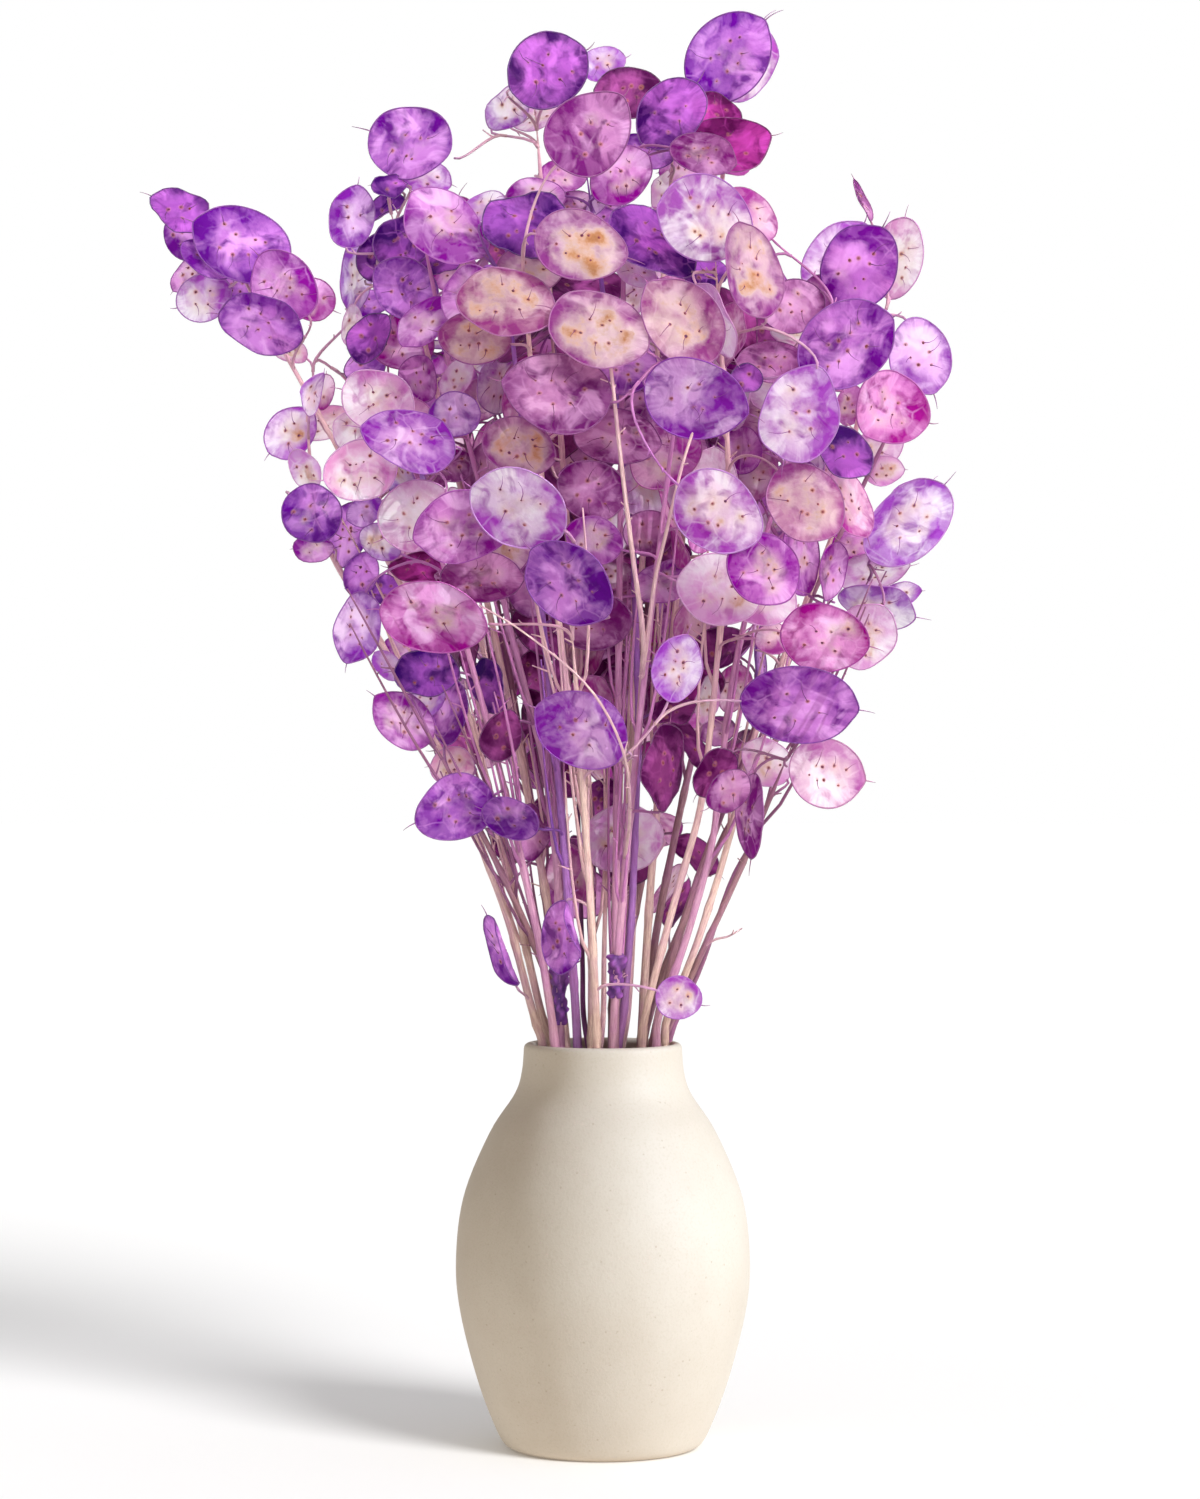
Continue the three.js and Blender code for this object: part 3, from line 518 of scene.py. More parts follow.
class Growth:
    """What has grown so far, held in arrays so that each clearance test runs over all of it at once."""

    def __init__(self, stems):
        self.pods = [np.zeros((0, 1, 3))] * 4 + [np.zeros((0, 1))] * 2
        self.rims = np.zeros((0, RIM_POINTS, 3))
        self.points, self.joined, self.point_r = np.zeros((0, 3)), np.zeros(0, bool), np.zeros(0)
        self.line_from, self.line_to = np.zeros((0, 3)), np.zeros((0, 3))
        self.line_r, self.line_stem = np.zeros(0), np.zeros(0, int)
        self.bud_p, self.bud_way = np.zeros((0, 3)), np.zeros((0, 3))
        self.bud_stem, self.bud_wood = np.zeros(0, int), np.zeros(0, int)
        self.stems = stems
        for i, stem in enumerate(stems):
            self.add_wood(i, stem["line"], stepped(stem["line"], PATH_STEP), STEM_MEAN_R)
            self.add_buds(i, 0, stem["line"])

    def store(self, **rows):
        """Adds the rows to the arrays of those names."""
        for name, new in rows.items():
            setattr(self, name, np.concatenate([getattr(self, name), new]))

    def add_wood(self, stem, line, path, r):
        count = len(line) - 1
        self.store(points=path, joined=np.arange(len(path)) < len(path) - 1, point_r=np.full(len(path), r))
        self.store(line_from=line[:-1], line_to=line[1:])
        self.store(line_r=np.full(count, r), line_stem=np.full(count, stem))

    def add_buds(self, stem, wood, line):
        """The places on a stem, or on its stalk of that number, that a new stalk can leave from."""
        path = stepped(line, BUD_SPACING)
        way = ways(path)[1:-1]
        path = path[1:-1]
        high = path[:, 2] > LOWEST_BUD
        self.store(bud_p=path[high], bud_way=way[high])
        self.store(bud_stem=np.full(high.sum(), stem), bud_wood=np.full(high.sum(), wood))

    def add_pod(self, pod, rim):
        new = [pod[key].reshape(1, 1, 3) for key in "cuvn"]
        new += [np.full((1, 1), pod[key]) for key in "ab"]
        self.pods = [np.concatenate([old, piece]) for old, piece in zip(self.pods, new)]
        self.rims = np.concatenate([self.rims, rim[None]])

    def is_clear(self, pod, rim):
        c, _, _, _, a, _ = self.pods
        near = ((c[:, 0] - pod["c"]) ** 2).sum(-1) <= (a[:, 0] + pod["a"] + POD_GAP) ** 2
        if near.any():
            others = [piece[near] for piece in self.pods]
            if meets(rim[None], True, others, POD_GAP).any():
                return False
            if meets(self.rims[near], True, one(pod), POD_GAP).any():
                return False
        return not meets(self.points, self.joined, one(pod), WOOD_GAP + self.point_r)

    def costs(self, pod):
        """What it costs to hang the pod on each bud: short stalks that grow onward cost least."""
        way = pod["c"] - pod["u"] * pod["a"] - self.bud_p
        far = np.sqrt(dots(way, way))
        onward = dots(way, self.bud_way) / far
        end_on = dots(way, pod["u"]) / far
        count = np.array([len(s["pods"]) for s in self.stems])[self.bud_stem]
        cost = far * (2 - ONWARD_WORTH * onward - END_ON_WORTH * end_on) + CROWDING * count
        barred = (far < STALK_SHORTEST) | (far > STALK_LONGEST)
        barred |= (onward < LEAST_ONWARD) | (end_on < LEAST_END_ON)
        return np.where(barred, np.inf, cost)

    def hang(self, seen, dye):
        """Hangs the pod on the cheapest bud whose stalk is clear, and returns whether one was.

        The pod is tried with either end to the stalk.
        """
        rim = rim_of(seen)
        if not self.is_clear(seen, rim):
            return False
        both = [seen, {**seen, "u": -seen["u"], "v": -seen["v"]}]
        cost = np.concatenate([self.costs(pod) for pod in both])
        for choice in np.argsort(cost, kind="stable")[:STALK_CHOICES]:
            if cost[choice] == np.inf:
                return False
            turned, bud = divmod(int(choice), len(self.bud_p))
            pod = both[turned]
            p, way, stem = self.bud_p[bud], self.bud_way[bud], int(self.bud_stem[bud])
            path = stalk_curve(p, way, pod, CURVE_STEPS)
            joined = np.arange(len(path)) < CURVE_STEPS
            if len(self.rims) and meets(path[None], joined, self.pods, WOOD_GAP + STALK_R).any():
                continue
            other = self.line_stem != stem
            gap = self.line_r[other] + STALK_R + STALK_GAP
            if (distances(path, self.line_from[other], self.line_to[other]) < gap).any():
                continue
            if meets(path[:-1], joined[1:], one(pod), OWN_STALK_GAP):
                continue
            far = far_apart(path[0], path[-1])
            line = stalk_curve(p, way, pod, 1 + (far > MIDDLING_STALK) + (far > LONG_STALK))
            grown = self.stems[stem]
            grown["pods"].append({**pod, "dye": dye})
            grown["stalks"].append({"bud": p, "way": way, "wood": int(self.bud_wood[bud])})
            self.add_pod(pod, rim)
            self.add_wood(stem, path, path, STALK_R)
            self.add_buds(stem, len(grown["stalks"]), line)
            return True
        return False


def stalk_curve(bud, way, pod, steps):
    """A stalk's curve: it leaves along the wood and meets the pod's near end on."""
    end = pod["c"] - pod["u"] * pod["a"]
    far = far_apart(bud, end)
    hold = np.array([bud, bud + way * far * STALK_LEAVES, end - pod["u"] * far * STALK_ARRIVES, end])
    t = np.arange(steps + 1)[:, None] / steps
    weights = np.hstack([(1 - t) ** 3, 3 * t * (1 - t) ** 2, 3 * t * t * (1 - t), t**3])
    return weights @ hold


def hang_seen(row, growth):
    """The pod of the table at the first clear depth, nearest to its layer's own."""
    own = depth_of(row[0], row[1], row[5])
    for k in range(DEPTH_TRIES):
        y = own + to_and_fro(k) * DEPTH_STEP
        outward = np.array([row[0], y, row[1] - FILL_CENTRE[2]])
        both = (pod_seen(row, y, side) for side in (1, -1))
        facing = sorted(both, key=lambda pod: -abs(dots(pod["n"], outward)))
        if any(growth.hang(pod, row[6]) for pod in facing):
            return True
    return False


def drawn_pod(draw, centre, reach, out, half_length):
    """A pod of the fill: a drawn place in the bunch, facing out and turned by a draw."""

    def between(low, high):
        return low + (high - low) * next(draw)

    way = unit(np.array([between(-1, 1) for _ in range(3)]))
    c = np.array(centre) + way * np.array(reach) * between(*out)
    n = unit(way + FILL_TURN * np.array([between(-1, 1) for _ in range(3)]))
    spin = between(0, 2 * math.pi)
    level = unit(np.cross([0, 0, 1], n))
    u = level * math.cos(spin) + np.cross(n, level) * math.sin(spin)
    a = between(*half_length)
    return {"c": c, "u": u, "v": np.cross(n, u), "n": n, "a": a, "b": a / between(*FILL_RATIO)}


def fill(growth, seed, count, centre, reach, out, half_length, dyes):
    """Hangs that many pods at drawn places, or as many of them as find room.

    Their one dye of the dyes is drawn later, by filled_dye.
    """
    draw = draws(seed)
    filled = 0
    for _ in range(FILL_TRIES):
        if filled == count:
            break
        pod = drawn_pod(draw, centre, reach, out, half_length)
        if pod["c"][1] > FILL_FRONT and growth.hang(pod, dyes):
            filled += 1


def grow_bunch():
    """The model's own bunch, and then the inner pods that only this script has."""
    stems = []
    for row in STEMS:
        stems.append(lay_stem(row, stems))
    growth = Growth(stems)
    for row in PODS:
        hang_seen(row, growth)
    fill(growth, FILL_SEED, FILL_PODS, FILL_CENTRE, FILL_REACH, FILL_OUT, FILL_HALF_LENGTH, OUTER_DYES)
    for row in BACK_PODS:
        hang_seen(row, growth)
    for row in INNER_FILLS:
        fill(growth, *row)
    grow_shoots(growth)
    return stems


def grow_shoots(growth):
    """Thin shoots without pods, which stand up between the stems."""
    draw = draws(SHOOT_SEED)
    for stem in growth.stems:
        stem["shoots"] = []
    for _ in range(SHOOT_TRIES):
        i = int(next(draw) * len(growth.stems))
        path = stepped(growth.stems[i]["line"], BUD_SPACING)
        low = np.nonzero((path[:, 2] > SHOOT_FROM[0]) & (path[:, 2] < SHOOT_FROM[1]))[0]
        start = low[int(next(draw) * len(low))]
        way = ways(path)[start]
        turn = 2 * math.pi * next(draw)
        long = SHOOT_LONG[0] + (SHOOT_LONG[1] - SHOOT_LONG[0]) * next(draw)
        off = np.array([math.cos(turn), math.sin(turn), 0])
        t = np.linspace(0, 1, CURVE_STEPS + 1)[:, None]
        out = off * long * SHOOT_SPREAD * np.sqrt(t) * (1 - SHOOT_RETURN * t)
        shoot = path[start] + way * long * t + out
        joined = np.arange(len(shoot)) < CURVE_STEPS
        x, z = shoot[:, 0], shoot[:, 2]
        if ((x > SHOOTLESS[0]) & (x < SHOOTLESS[1]) & (z < SHOOTLESS[2])).any():
            continue
        if meets(shoot[None], joined, growth.pods, STALK_R).any():
            continue
        other = growth.line_stem != i
        gap = growth.line_r[other] + STALK_GAP
        if (distances(shoot, growth.line_from[other], growth.line_to[other]) >= gap).all():
            growth.stems[i]["shoots"].append(shoot)
            growth.add_wood(i, shoot, shoot, STALK_R)


# ---- Colours ----
def linear(red, green, blue):
    """A colour given as it looks on a screen, 0 to 255, in the linear values that Blender mixes."""
    return np.array([((c / 255 + 0.055) / 1.055) ** 2.4 for c in (red, green, blue)])


# Each dye of a pod: its full colour, its washed-out colour, and how strongly its heart has turned amber.
POD_DYES = {
    "violet": (linear(104, 0, 140), linear(214, 136, 224), 0.15),
    "deep": (linear(60, 0, 98), linear(178, 92, 198), 0.0),
    "blue": (linear(130, 30, 162), linear(234, 184, 240), 0.15),
    "orchid": (linear(140, 10, 146), linear(236, 162, 230), 0.3),
    "magenta": (linear(158, 0, 140), linear(246, 170, 232), 0.3),
    "crimson": (linear(86, 0, 74), linear(180, 56, 152), 0.0),
    "lilac": (linear(166, 76, 190), linear(255, 240, 251), 0.35),
    "petal": (linear(190, 124, 170), linear(236, 206, 220), 0.2),
    "blush": (linear(216, 150, 206), linear(255, 242, 250), 0.4),
    "amber": (linear(148, 58, 138), linear(218, 170, 192), 1.0),
    "dusk": (linear(116, 18, 110), linear(214, 144, 200), 0.2),
    "rose": (linear(172, 58, 152), linear(246, 196, 224), 0.3),
    "plum": (linear(78, 0, 72), linear(156, 68, 138), 0.0),
}
AMBER = linear(206, 144, 82)
BROWN = linear(150, 82, 36)
CREAM = linear(232, 212, 198)
SCAR = linear(136, 52, 40)
SCAR_DARK = linear(86, 14, 62)
SCAR_HALO = linear(224, 158, 128)
WHISKER = linear(150, 90, 120)
BARK_PATCH = linear(170, 96, 160)
CLAY = linear(189, 175, 155)
CLAY_CLOUD = linear(181, 165, 144)
CLAY_GRAIN = linear(168, 151, 128)
CLAY_SPECK = linear(132, 108, 84)
# the dusky dyes of filled pods deep in the bunch: partly the pods' own dyes, partly painted shade of its
# inside
SHADED_INNER_DYES = ("dusk", "plum", "rose", "blush", "dusk", "orchid")
OUTER_DYES = ("violet", "orchid", "lilac", "magenta", "deep", "blue", "rose", "amber", "violet", "orchid")
INNER_SHARE = 0.72  # a filled pod nearer to the middle than this share of the reach has an inner dye, dusky partly as painted shade
MIDDLE_DYES = ("dusk", "rose", "blush", "orchid", "dusk", "plum")
# Pods that fill the inside of the bunch: seed, count, centre, reach, share of the reach, half lengths, dyes.
# their mostly dusky dyes are partly painted shade of the bunch's inside
INNER_FILLS = (
    (11, 46, (0, 25, 345), (80, 70, 62), (0, 1), (13, 20), ("plum", "dusk", "crimson", "rose")),
    (12, 52, (0, 15, 440), (108, 85, 100), (0, 0.95), (13, 20), MIDDLE_DYES),
    (13, 14, (0, 20, 262), (55, 45, 32), (0, 1), (11, 16), ("rose", "dusk", "plum")),
    (14, 22, (-74, 15, 462), (36, 60, 62), (0, 1), (12, 18), ("lilac", "orchid", "dusk", "blush", "violet")),
    (15, 22, (78, 15, 445), (36, 60, 66), (0, 1), (12, 18), ("rose", "lilac", "orchid", "blush", "dusk")),
)
# Pods at the back and the edges, as rows of PODS.
BACK_PODS = (
    (-114, 406, 28, 16, 80, -0.1, "violet"),
    (-79, 566, 24, 17, -20, 0.1, "lilac"),
    (-96, 550, 20, 16, 40, 0.1, "deep"),
    (-31, 345, 22, 14, 80, -0.3, "plum"),
    (13, 512, 20, 14, 60, -0.1, "blush"),
    (-2, 289, 20, 14, 60, -0.4, "plum"),
    (-98, 382, 18, 13, 0, -0.1, "deep"),
    (-103, 509, 18, 13, 0, -0.1, "violet"),
    (-125, 470, 16, 10, 80, 0, "rose"),
    (-106, 481, 19, 14, 20, 0, "violet"),
    (0, 550, 18, 13, 0, -0.1, "violet"),
    (3, 389, 20, 14, 0, -0.1, "rose"),
    (-18, 566, 22, 15, 0, 0.1, "orchid"),
    (-163, 516, 18, 12, 0, 0, "violet"),
    (-47, 532, 18, 13, 0, -0.2, "plum"),
    (-12, 553, 18, 12, 0, -0.1, "dusk"),
    (-90, 356, 16, 12, 0, -0.1, "orchid"),
    (34, 568, 18, 13, 0, 0, "orchid"),
    (58, 573, 18, 14, 0, 0.1, "magenta"),
    (110, 464, 18, 12, 80, -0.1, "magenta"),
    (111, 401, 20, 15, 0, 0, "orchid"),
    (136, 421, 26, 16, 40, 0, "lilac"),
    (134, 380, 16, 11, 0, 0, "lilac"),
    (-185, 522, 18, 12, 50, -0.1, "orchid"),
    (58, 338, 22, 15, 70, -0.3, "rose"),
    (51, 319, 18, 13, 0, -0.4, "dusk"),
    (72, 495, 20, 15, 0, -0.3, "plum"),
    (125, 435, 18, 13, 0, 0, "blush"),
    (-4, 443, 22, 16, 0, 0, "dusk"),
    (69, 434, 24, 17, 80, 0, "rose"),
    (28, 397, 22, 17, 0, -0.2, "plum"),
    (-53, 467, 24, 17, 30, 0, "rose"),
    (-66, 523, 22, 16, 0, 0, "orchid"),
    (16, 517, 20, 15, 0, -0.3, "orchid"),
)
# Thin shoots that this script alone adds, in millimetres and shares.
SHOOT_SEED = 5
SHOOT_TRIES = 170
SHOOT_FROM = (205, 350)  # heights that they leave the stems at
SHOOT_LONG = (45, 120)
SHOOT_SPREAD = 0.16
SHOOT_RETURN = 0.4  # how much of its spread a shoot takes back by its end
SHOOT_R = (0.85, 0.35)
SHOOTLESS = (14, 46, 290)  # no shoot crosses the open wedge from x to x below this height
# Twigs in front of the pods: points x and z as seen and depth y, from the stem up; then both ends' radii.
TWIGS = (
    (
        ((16, 322, -28), (17.5, 345, -58), (17.8, 363, -78),
         (13.5, 395, -96), (8, 440, -108), (3.4, 482, -110)),
        (1.35, 0.8),
    ),
    (
        ((17.6, 346, -60), (19.9, 362, -76), (23.2, 386, -90),
         (27.4, 404, -99), (35, 436, -106), (40, 452, -106)),
        (1.1, 0.6),
    ),
    (
        ((9.7, 262, -37), (12, 282, -72), (9, 310, -104),
         (-6, 338, -112), (-34, 362, -111), (-55, 375, -108)),
        (0.8, 0.4),
    ),
    (
        ((45.3, 223, -2.5), (50, 226, -6), (56, 227.5, -8), (62, 231, -10)),
        (0.7, 0.35),
    ),
)
# Shoots that leave a stem inside the vase's neck: the number of the stem, and points from there up.
LOW_SHOOTS = (
    (13, ((-3, -5, 165), (0, -3, 190), (0.5, -2, 220), (1.5, 0, 262), (3, 4, 330))),
    (23, ((-4, 10.5, 165), (-8.6, 14, 190), (-9.2, 16, 215), (-10.5, 20, 262), (-12, 24, 320))),
    (15, ((5.9, 0, 165), (10.6, 1, 188), (12.6, 2, 210), (14, 3, 240), (15, 4, 300))),
    (9, ((27.8, 10.4, 168), (31.5, 10, 186), (44, 6, 214), (57, 0, 252), (69, -4, 275), (76, -6, 300))),
)
LOW_SHOOT_R = (1.35, 0.6)
TWIG_TINT = linear(214, 180, 176)
TWIG_STEM = 17  # the number of the stem whose piece they are in
# Crumpled dry leaves: the number of the stem, and the heights from and to which they reach.
SHEATHS = ((3, 188, 216), (17, 198, 224))
SHEATH_OUT = 0.9  # how far one stands off its stem
# The shades of the stems, low down and high up.
STEM_SHADES = {
    "umber": (linear(168, 130, 128), linear(140, 88, 118)),
    "plum": (linear(128, 70, 112), linear(104, 40, 100)),
    "cream": (linear(228, 202, 180), linear(222, 184, 180)),
    "mauve": (linear(208, 162, 178), linear(184, 116, 166)),
    "violet": (linear(164, 112, 176), linear(128, 70, 160)),
}
# The shades that the stems have in turn, by their numbers.
SHADE_ORDER = ("cream", "cream", "mauve", "cream", "violet", "cream", "mauve")
# darker shades for stems at the back of the bunch: partly the stems' own colour, partly painted shade
BACK_PAINTED_SHADES = ("umber", "plum", "umber")
STEM_PAINTED_SHADE = np.array([0.38, 0.44, 0.44])  # painted shade where the stems crowd near the lip: what they lose of their red, green and blue there,
STEM_PAINTED_SHADE_BELOW = 245  # from this height down,
STEM_PAINTED_SHADE_SPAN = 50  # and in full from this much lower
HUE_FROM = 200  # the height at which a stem's shade begins to turn from the low one to the high one,
HUE_SPAN = 260  # over this height
BACK_FROM = 2  # stems that pass the lip further back than this have the darker shades, partly their own colour and partly painted shade of the bunch's back

# ---- Sizes of the fine pieces, in millimetres ----
TUBE_SIDE = (0.3, 0.9, 0.1)  # the way that a tube's first edge faces
THREAD_SIDE = (0.2, 1, 0.3)
RIM_R = 0.36
RIM_SIDES = 4
RIM_SHADE = 0.72  # a rim's dark colour, as a share of the pod's full one
RIM_PALE = (0.0, 0.2)  # the range of the share of the washed-out colour that a rim has besides
FULL_POD = 18  # a pod with a smaller half length than this has a thinner rim and whisker
OUTLINE_STEP = 2.4  # between the points of a pod's outline
LEAST_OUTLINE = 20  # points
SHEET_STEP = 2.3  # between the rings of a pod's sheet
LEAST_RING = 6  # points
EGG = (-0.06, 0.1)  # how much slimmer a pod's far half is than its near one
TIPS = (0.015, 0.03, 0.06)  # how far its tip is drawn out, in half lengths
TIP_WIDTH = 0.2
BASE = 0.02  # how far its near end is drawn out
BASE_WIDTH = 0.25
WAVE = 0.022  # how far the outline waves in and out, at most
WAVES = (2, 3, 5)  # how often it does so, round the pod
CUP = 0.04  # how far a pod's rim stands off its middle, in half lengths
RIPPLE = 0.45
RIPPLES = (2, 3, 4)
CRUMPLE = (0.7, 1.3)  # how strongly a pod waves and ripples
CRUMPLED = {"deep": 2.4, "plum": 1.7}  # how much more than the others the pods of these dyes do so
CREASED = 0.5  # the share of the pods that have a slight fold
CREASE_BEND = (8, 26)  # degrees
CREASE_PLACE = (0, 0.6)  # half widths
FOLD_STEP = 1.3  # between the points along a fold
FLAP_LIGHT_AND_SHADE = 0.75  # painted light and shade: how much darker a flap that is bent back is painted, and how much paler one bent forward
DENT = 0.12
DENT_WAVES = (0.5, 0.63)  # dents a millimetre, along and across
SMALL_POD = 9  # half lengths under which a pod has 2 seeds, and under the next 4
MIDDLING_POD = 14
SEEDS = (5, 9)  # from this many up to one under that many in the others
SEED_ROWS = (0.12, 0.42)  # how far from the middle line the seeds lie, in half widths
SEED_SPAN = 0.96  # how much of the pod's length they take up
SEED_STRAY = 0.1
SCAR_RINGS = ((0.45, 5), (0.95, 7), (1.7, 9))  # radius and number of the points round a seed scar
SCAR_CLEAR = 2.1  # no other point of the sheet lies as near to a scar as this
SCAR_BUMP = 0.22
SCAR_BUMP_R = 1.1
SCAR_SIDES = 6
SCAR_LIFT = 0.02  # how far a scar's rim lies above the sheet, and its middle above and below it
SCAR_RISE = 0.32
SEED_R = 0.62
SEED_SIZES = (0.6, 1.25)
THREAD_R = 0.17
THREAD_LIFT = 0.08
THREADED = 0.6  # the share of the scars that have a thread
THREAD_LONG = (0.1, 0.6)  # half widths
THREAD_SWAY = 0.7
WHISKER_R = 0.26
WHISKER_LONG = (0.2, 0.42)  # half lengths
SHORT_WHISKER = 1.5  # a small pod's
WHISKER_BEND = 0.35
# How a pod is painted.
HEART_SHARE = (0.7, 1.0)  # how much of its dye's amber a pod has
HEART = (0.7, 0.66)  # the amber at a drawn centre, and how much less there is a half length further out
SEED_HEART = 0.85  # how much more there is at a seed,
SEED_HEART_R = 3.4  # and how far round it
STAIN_R = 1.3
DYE_SHIFT = 0.07  # how much the dye of one pod differs from the next one's,
PALE_SHIFT = 0.3  # and how much of that its washed-out colour does
WASH_LEAN = (0.5, 1.1)  # how strongly a pod is washed out to one side,
WASH_RIM = 0.25  # how much less it is at its rim
WASH_CENTRE = 0.25  # and more at its centre
SPUR_RADII = np.array([0.55, 0.4, 0.3, 0.28])
SPUR_SIDES = 5
SPUR_BEND = (-0.2, 0.4)
STALK_FINE_STEP = 3.5
STALK_SIDES = 6
STALK_RADII = (0.8, 0.42)
STALK_END_RADII = (0.62, 0.5)  # a stalk swells a little where it meets its pod
STEM_FINE_STEP = 5
STEM_FINE_SIDES = 12
CORNER = 14  # a stem's bend is rounded over this length to each side
NODE_SPACING = 37
NODE_SWELL = 0.22
NODE_LENGTH = 2.6
STEM_TAPER = 26  # a stem's end grows thin over this length
RIBS = 5
RIB = 0.07  # a rib's height, as a share of the radius
ROUTE_STEPS = 24  # of a twig's or a low shoot's smooth line
# Dry spurs on the wood: the share of the places that have one, and their lengths.
STEM_SPURS = (0.4, (2.5, 7))
SHOOT_SPURS = (0.3, (3, 9))
TWIG_SPURS = (0.12, (2, 5))
STALK_SPURS = (0.16, (1.8, 5))


# ---- Building meshes ----
def add_object(name, data):
    thing = bpy.data.objects.new(name, data)
    bpy.context.scene.collection.objects.link(thing)
    return thing


class Piece:
    """Gathers points, faces and the values painted on the points, and makes one object of them."""

    FIELDS = {"dye": 3, "pale": 3, "ray": 3, "wash": 1, "amber": 1, "stain": 1, "edge": 1}

    def __init__(self):
        self.points, self.faces, self.kinds, self.count = [], [], [], 0
        self.painted = {field: [] for field in self.FIELDS}

    def add(self, points, faces, kind=0, **values):
        self.points.append(points)
        self.faces += [[i + self.count for i in face] for face in faces]
        self.kinds += [kind] * len(faces)
        self.count += len(points)
        for field, size in self.FIELDS.items():
            value = np.asarray(values.get(field, 0.0), float)
            if size == 1 and value.ndim == 1:
                value = value[:, None]
            self.painted[field].append(np.broadcast_to(value, (len(points), size)))

    def build(self, name, node, slot, materials):
        mesh = bpy.data.meshes.new(name)
        mesh.from_pydata(np.concatenate(self.points) * MM, [], self.faces)
        mesh.polygons.foreach_set("material_index", self.kinds)
        mesh.shade_smooth()
        for field, size in self.FIELDS.items():
            kind, value = ("FLOAT_VECTOR", "vector") if size == 3 else ("FLOAT", "value")
            layer = mesh.attributes.new(field, kind, "POINT")
            layer.data.foreach_set(value, np.concatenate(self.painted[field]).ravel())
        for material in materials:
            mesh.materials.append(material)
        piece = add_object(name, mesh)
        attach(piece, "root")
        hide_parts(node)


def joined_rings(rings, sides, closed=False):
    """The four-sided faces between rings of points, with a cap on each open end."""
    faces = []
    for i in range(rings if closed else rings - 1):
        j = (i + 1) % rings
        for k in range(sides):
            m = (k + 1) % sides
            faces.append((i * sides + k, i * sides + m, j * sides + m, j * sides + k))
    if not closed:
        faces.append(tuple(range(sides))[::-1])
        faces.append(tuple(range((rings - 1) * sides, rings * sides)))
    return faces


def carried_sides(path, side):
    """A direction square to the path at each of its points, turned as little as may be."""
    out = []
    for way in ways(path):
        side = unit(side - way * dots(side, way))
        out.append(side)
    return np.array(out)


def tube(path, radii, sides, side=TUBE_SIDE, rib=0.0):
    """A tube along a path. Its ribs stand out and in by up to that share of the radius."""
    first = carried_sides(path, np.array(side, float))
    second = np.cross(ways(path), first)
    turn = turns(sides)
    radii = np.broadcast_to(radii, len(path))[:, None] * (1 + rib * np.cos(RIBS * turn))
    ring = first[:, None] * (radii * np.cos(turn))[..., None]
    ring = ring + second[:, None] * (radii * np.sin(turn))[..., None]
    return (path[:, None] + ring).reshape(-1, 3), joined_rings(len(path), sides)


def loop_tube(path, radius, sides, normal):
    """A tube along a closed path that lies round the normal."""
    way = unit(np.roll(path, -1, 0) - np.roll(path, 1, 0))
    first = unit(normal - way * dots(way, normal)[:, None])
    second = np.cross(way, first)
    turn = turns(sides)
    ring = first[:, None] * np.cos(turn)[:, None] + second[:, None] * np.sin(turn)[:, None]
    return (path[:, None] + ring * radius).reshape(-1, 3), joined_rings(len(path), sides, closed=True)


# ---- Pods ----
SHEET, THREAD = 0, 1  # a pod's materials, by their place in its piece


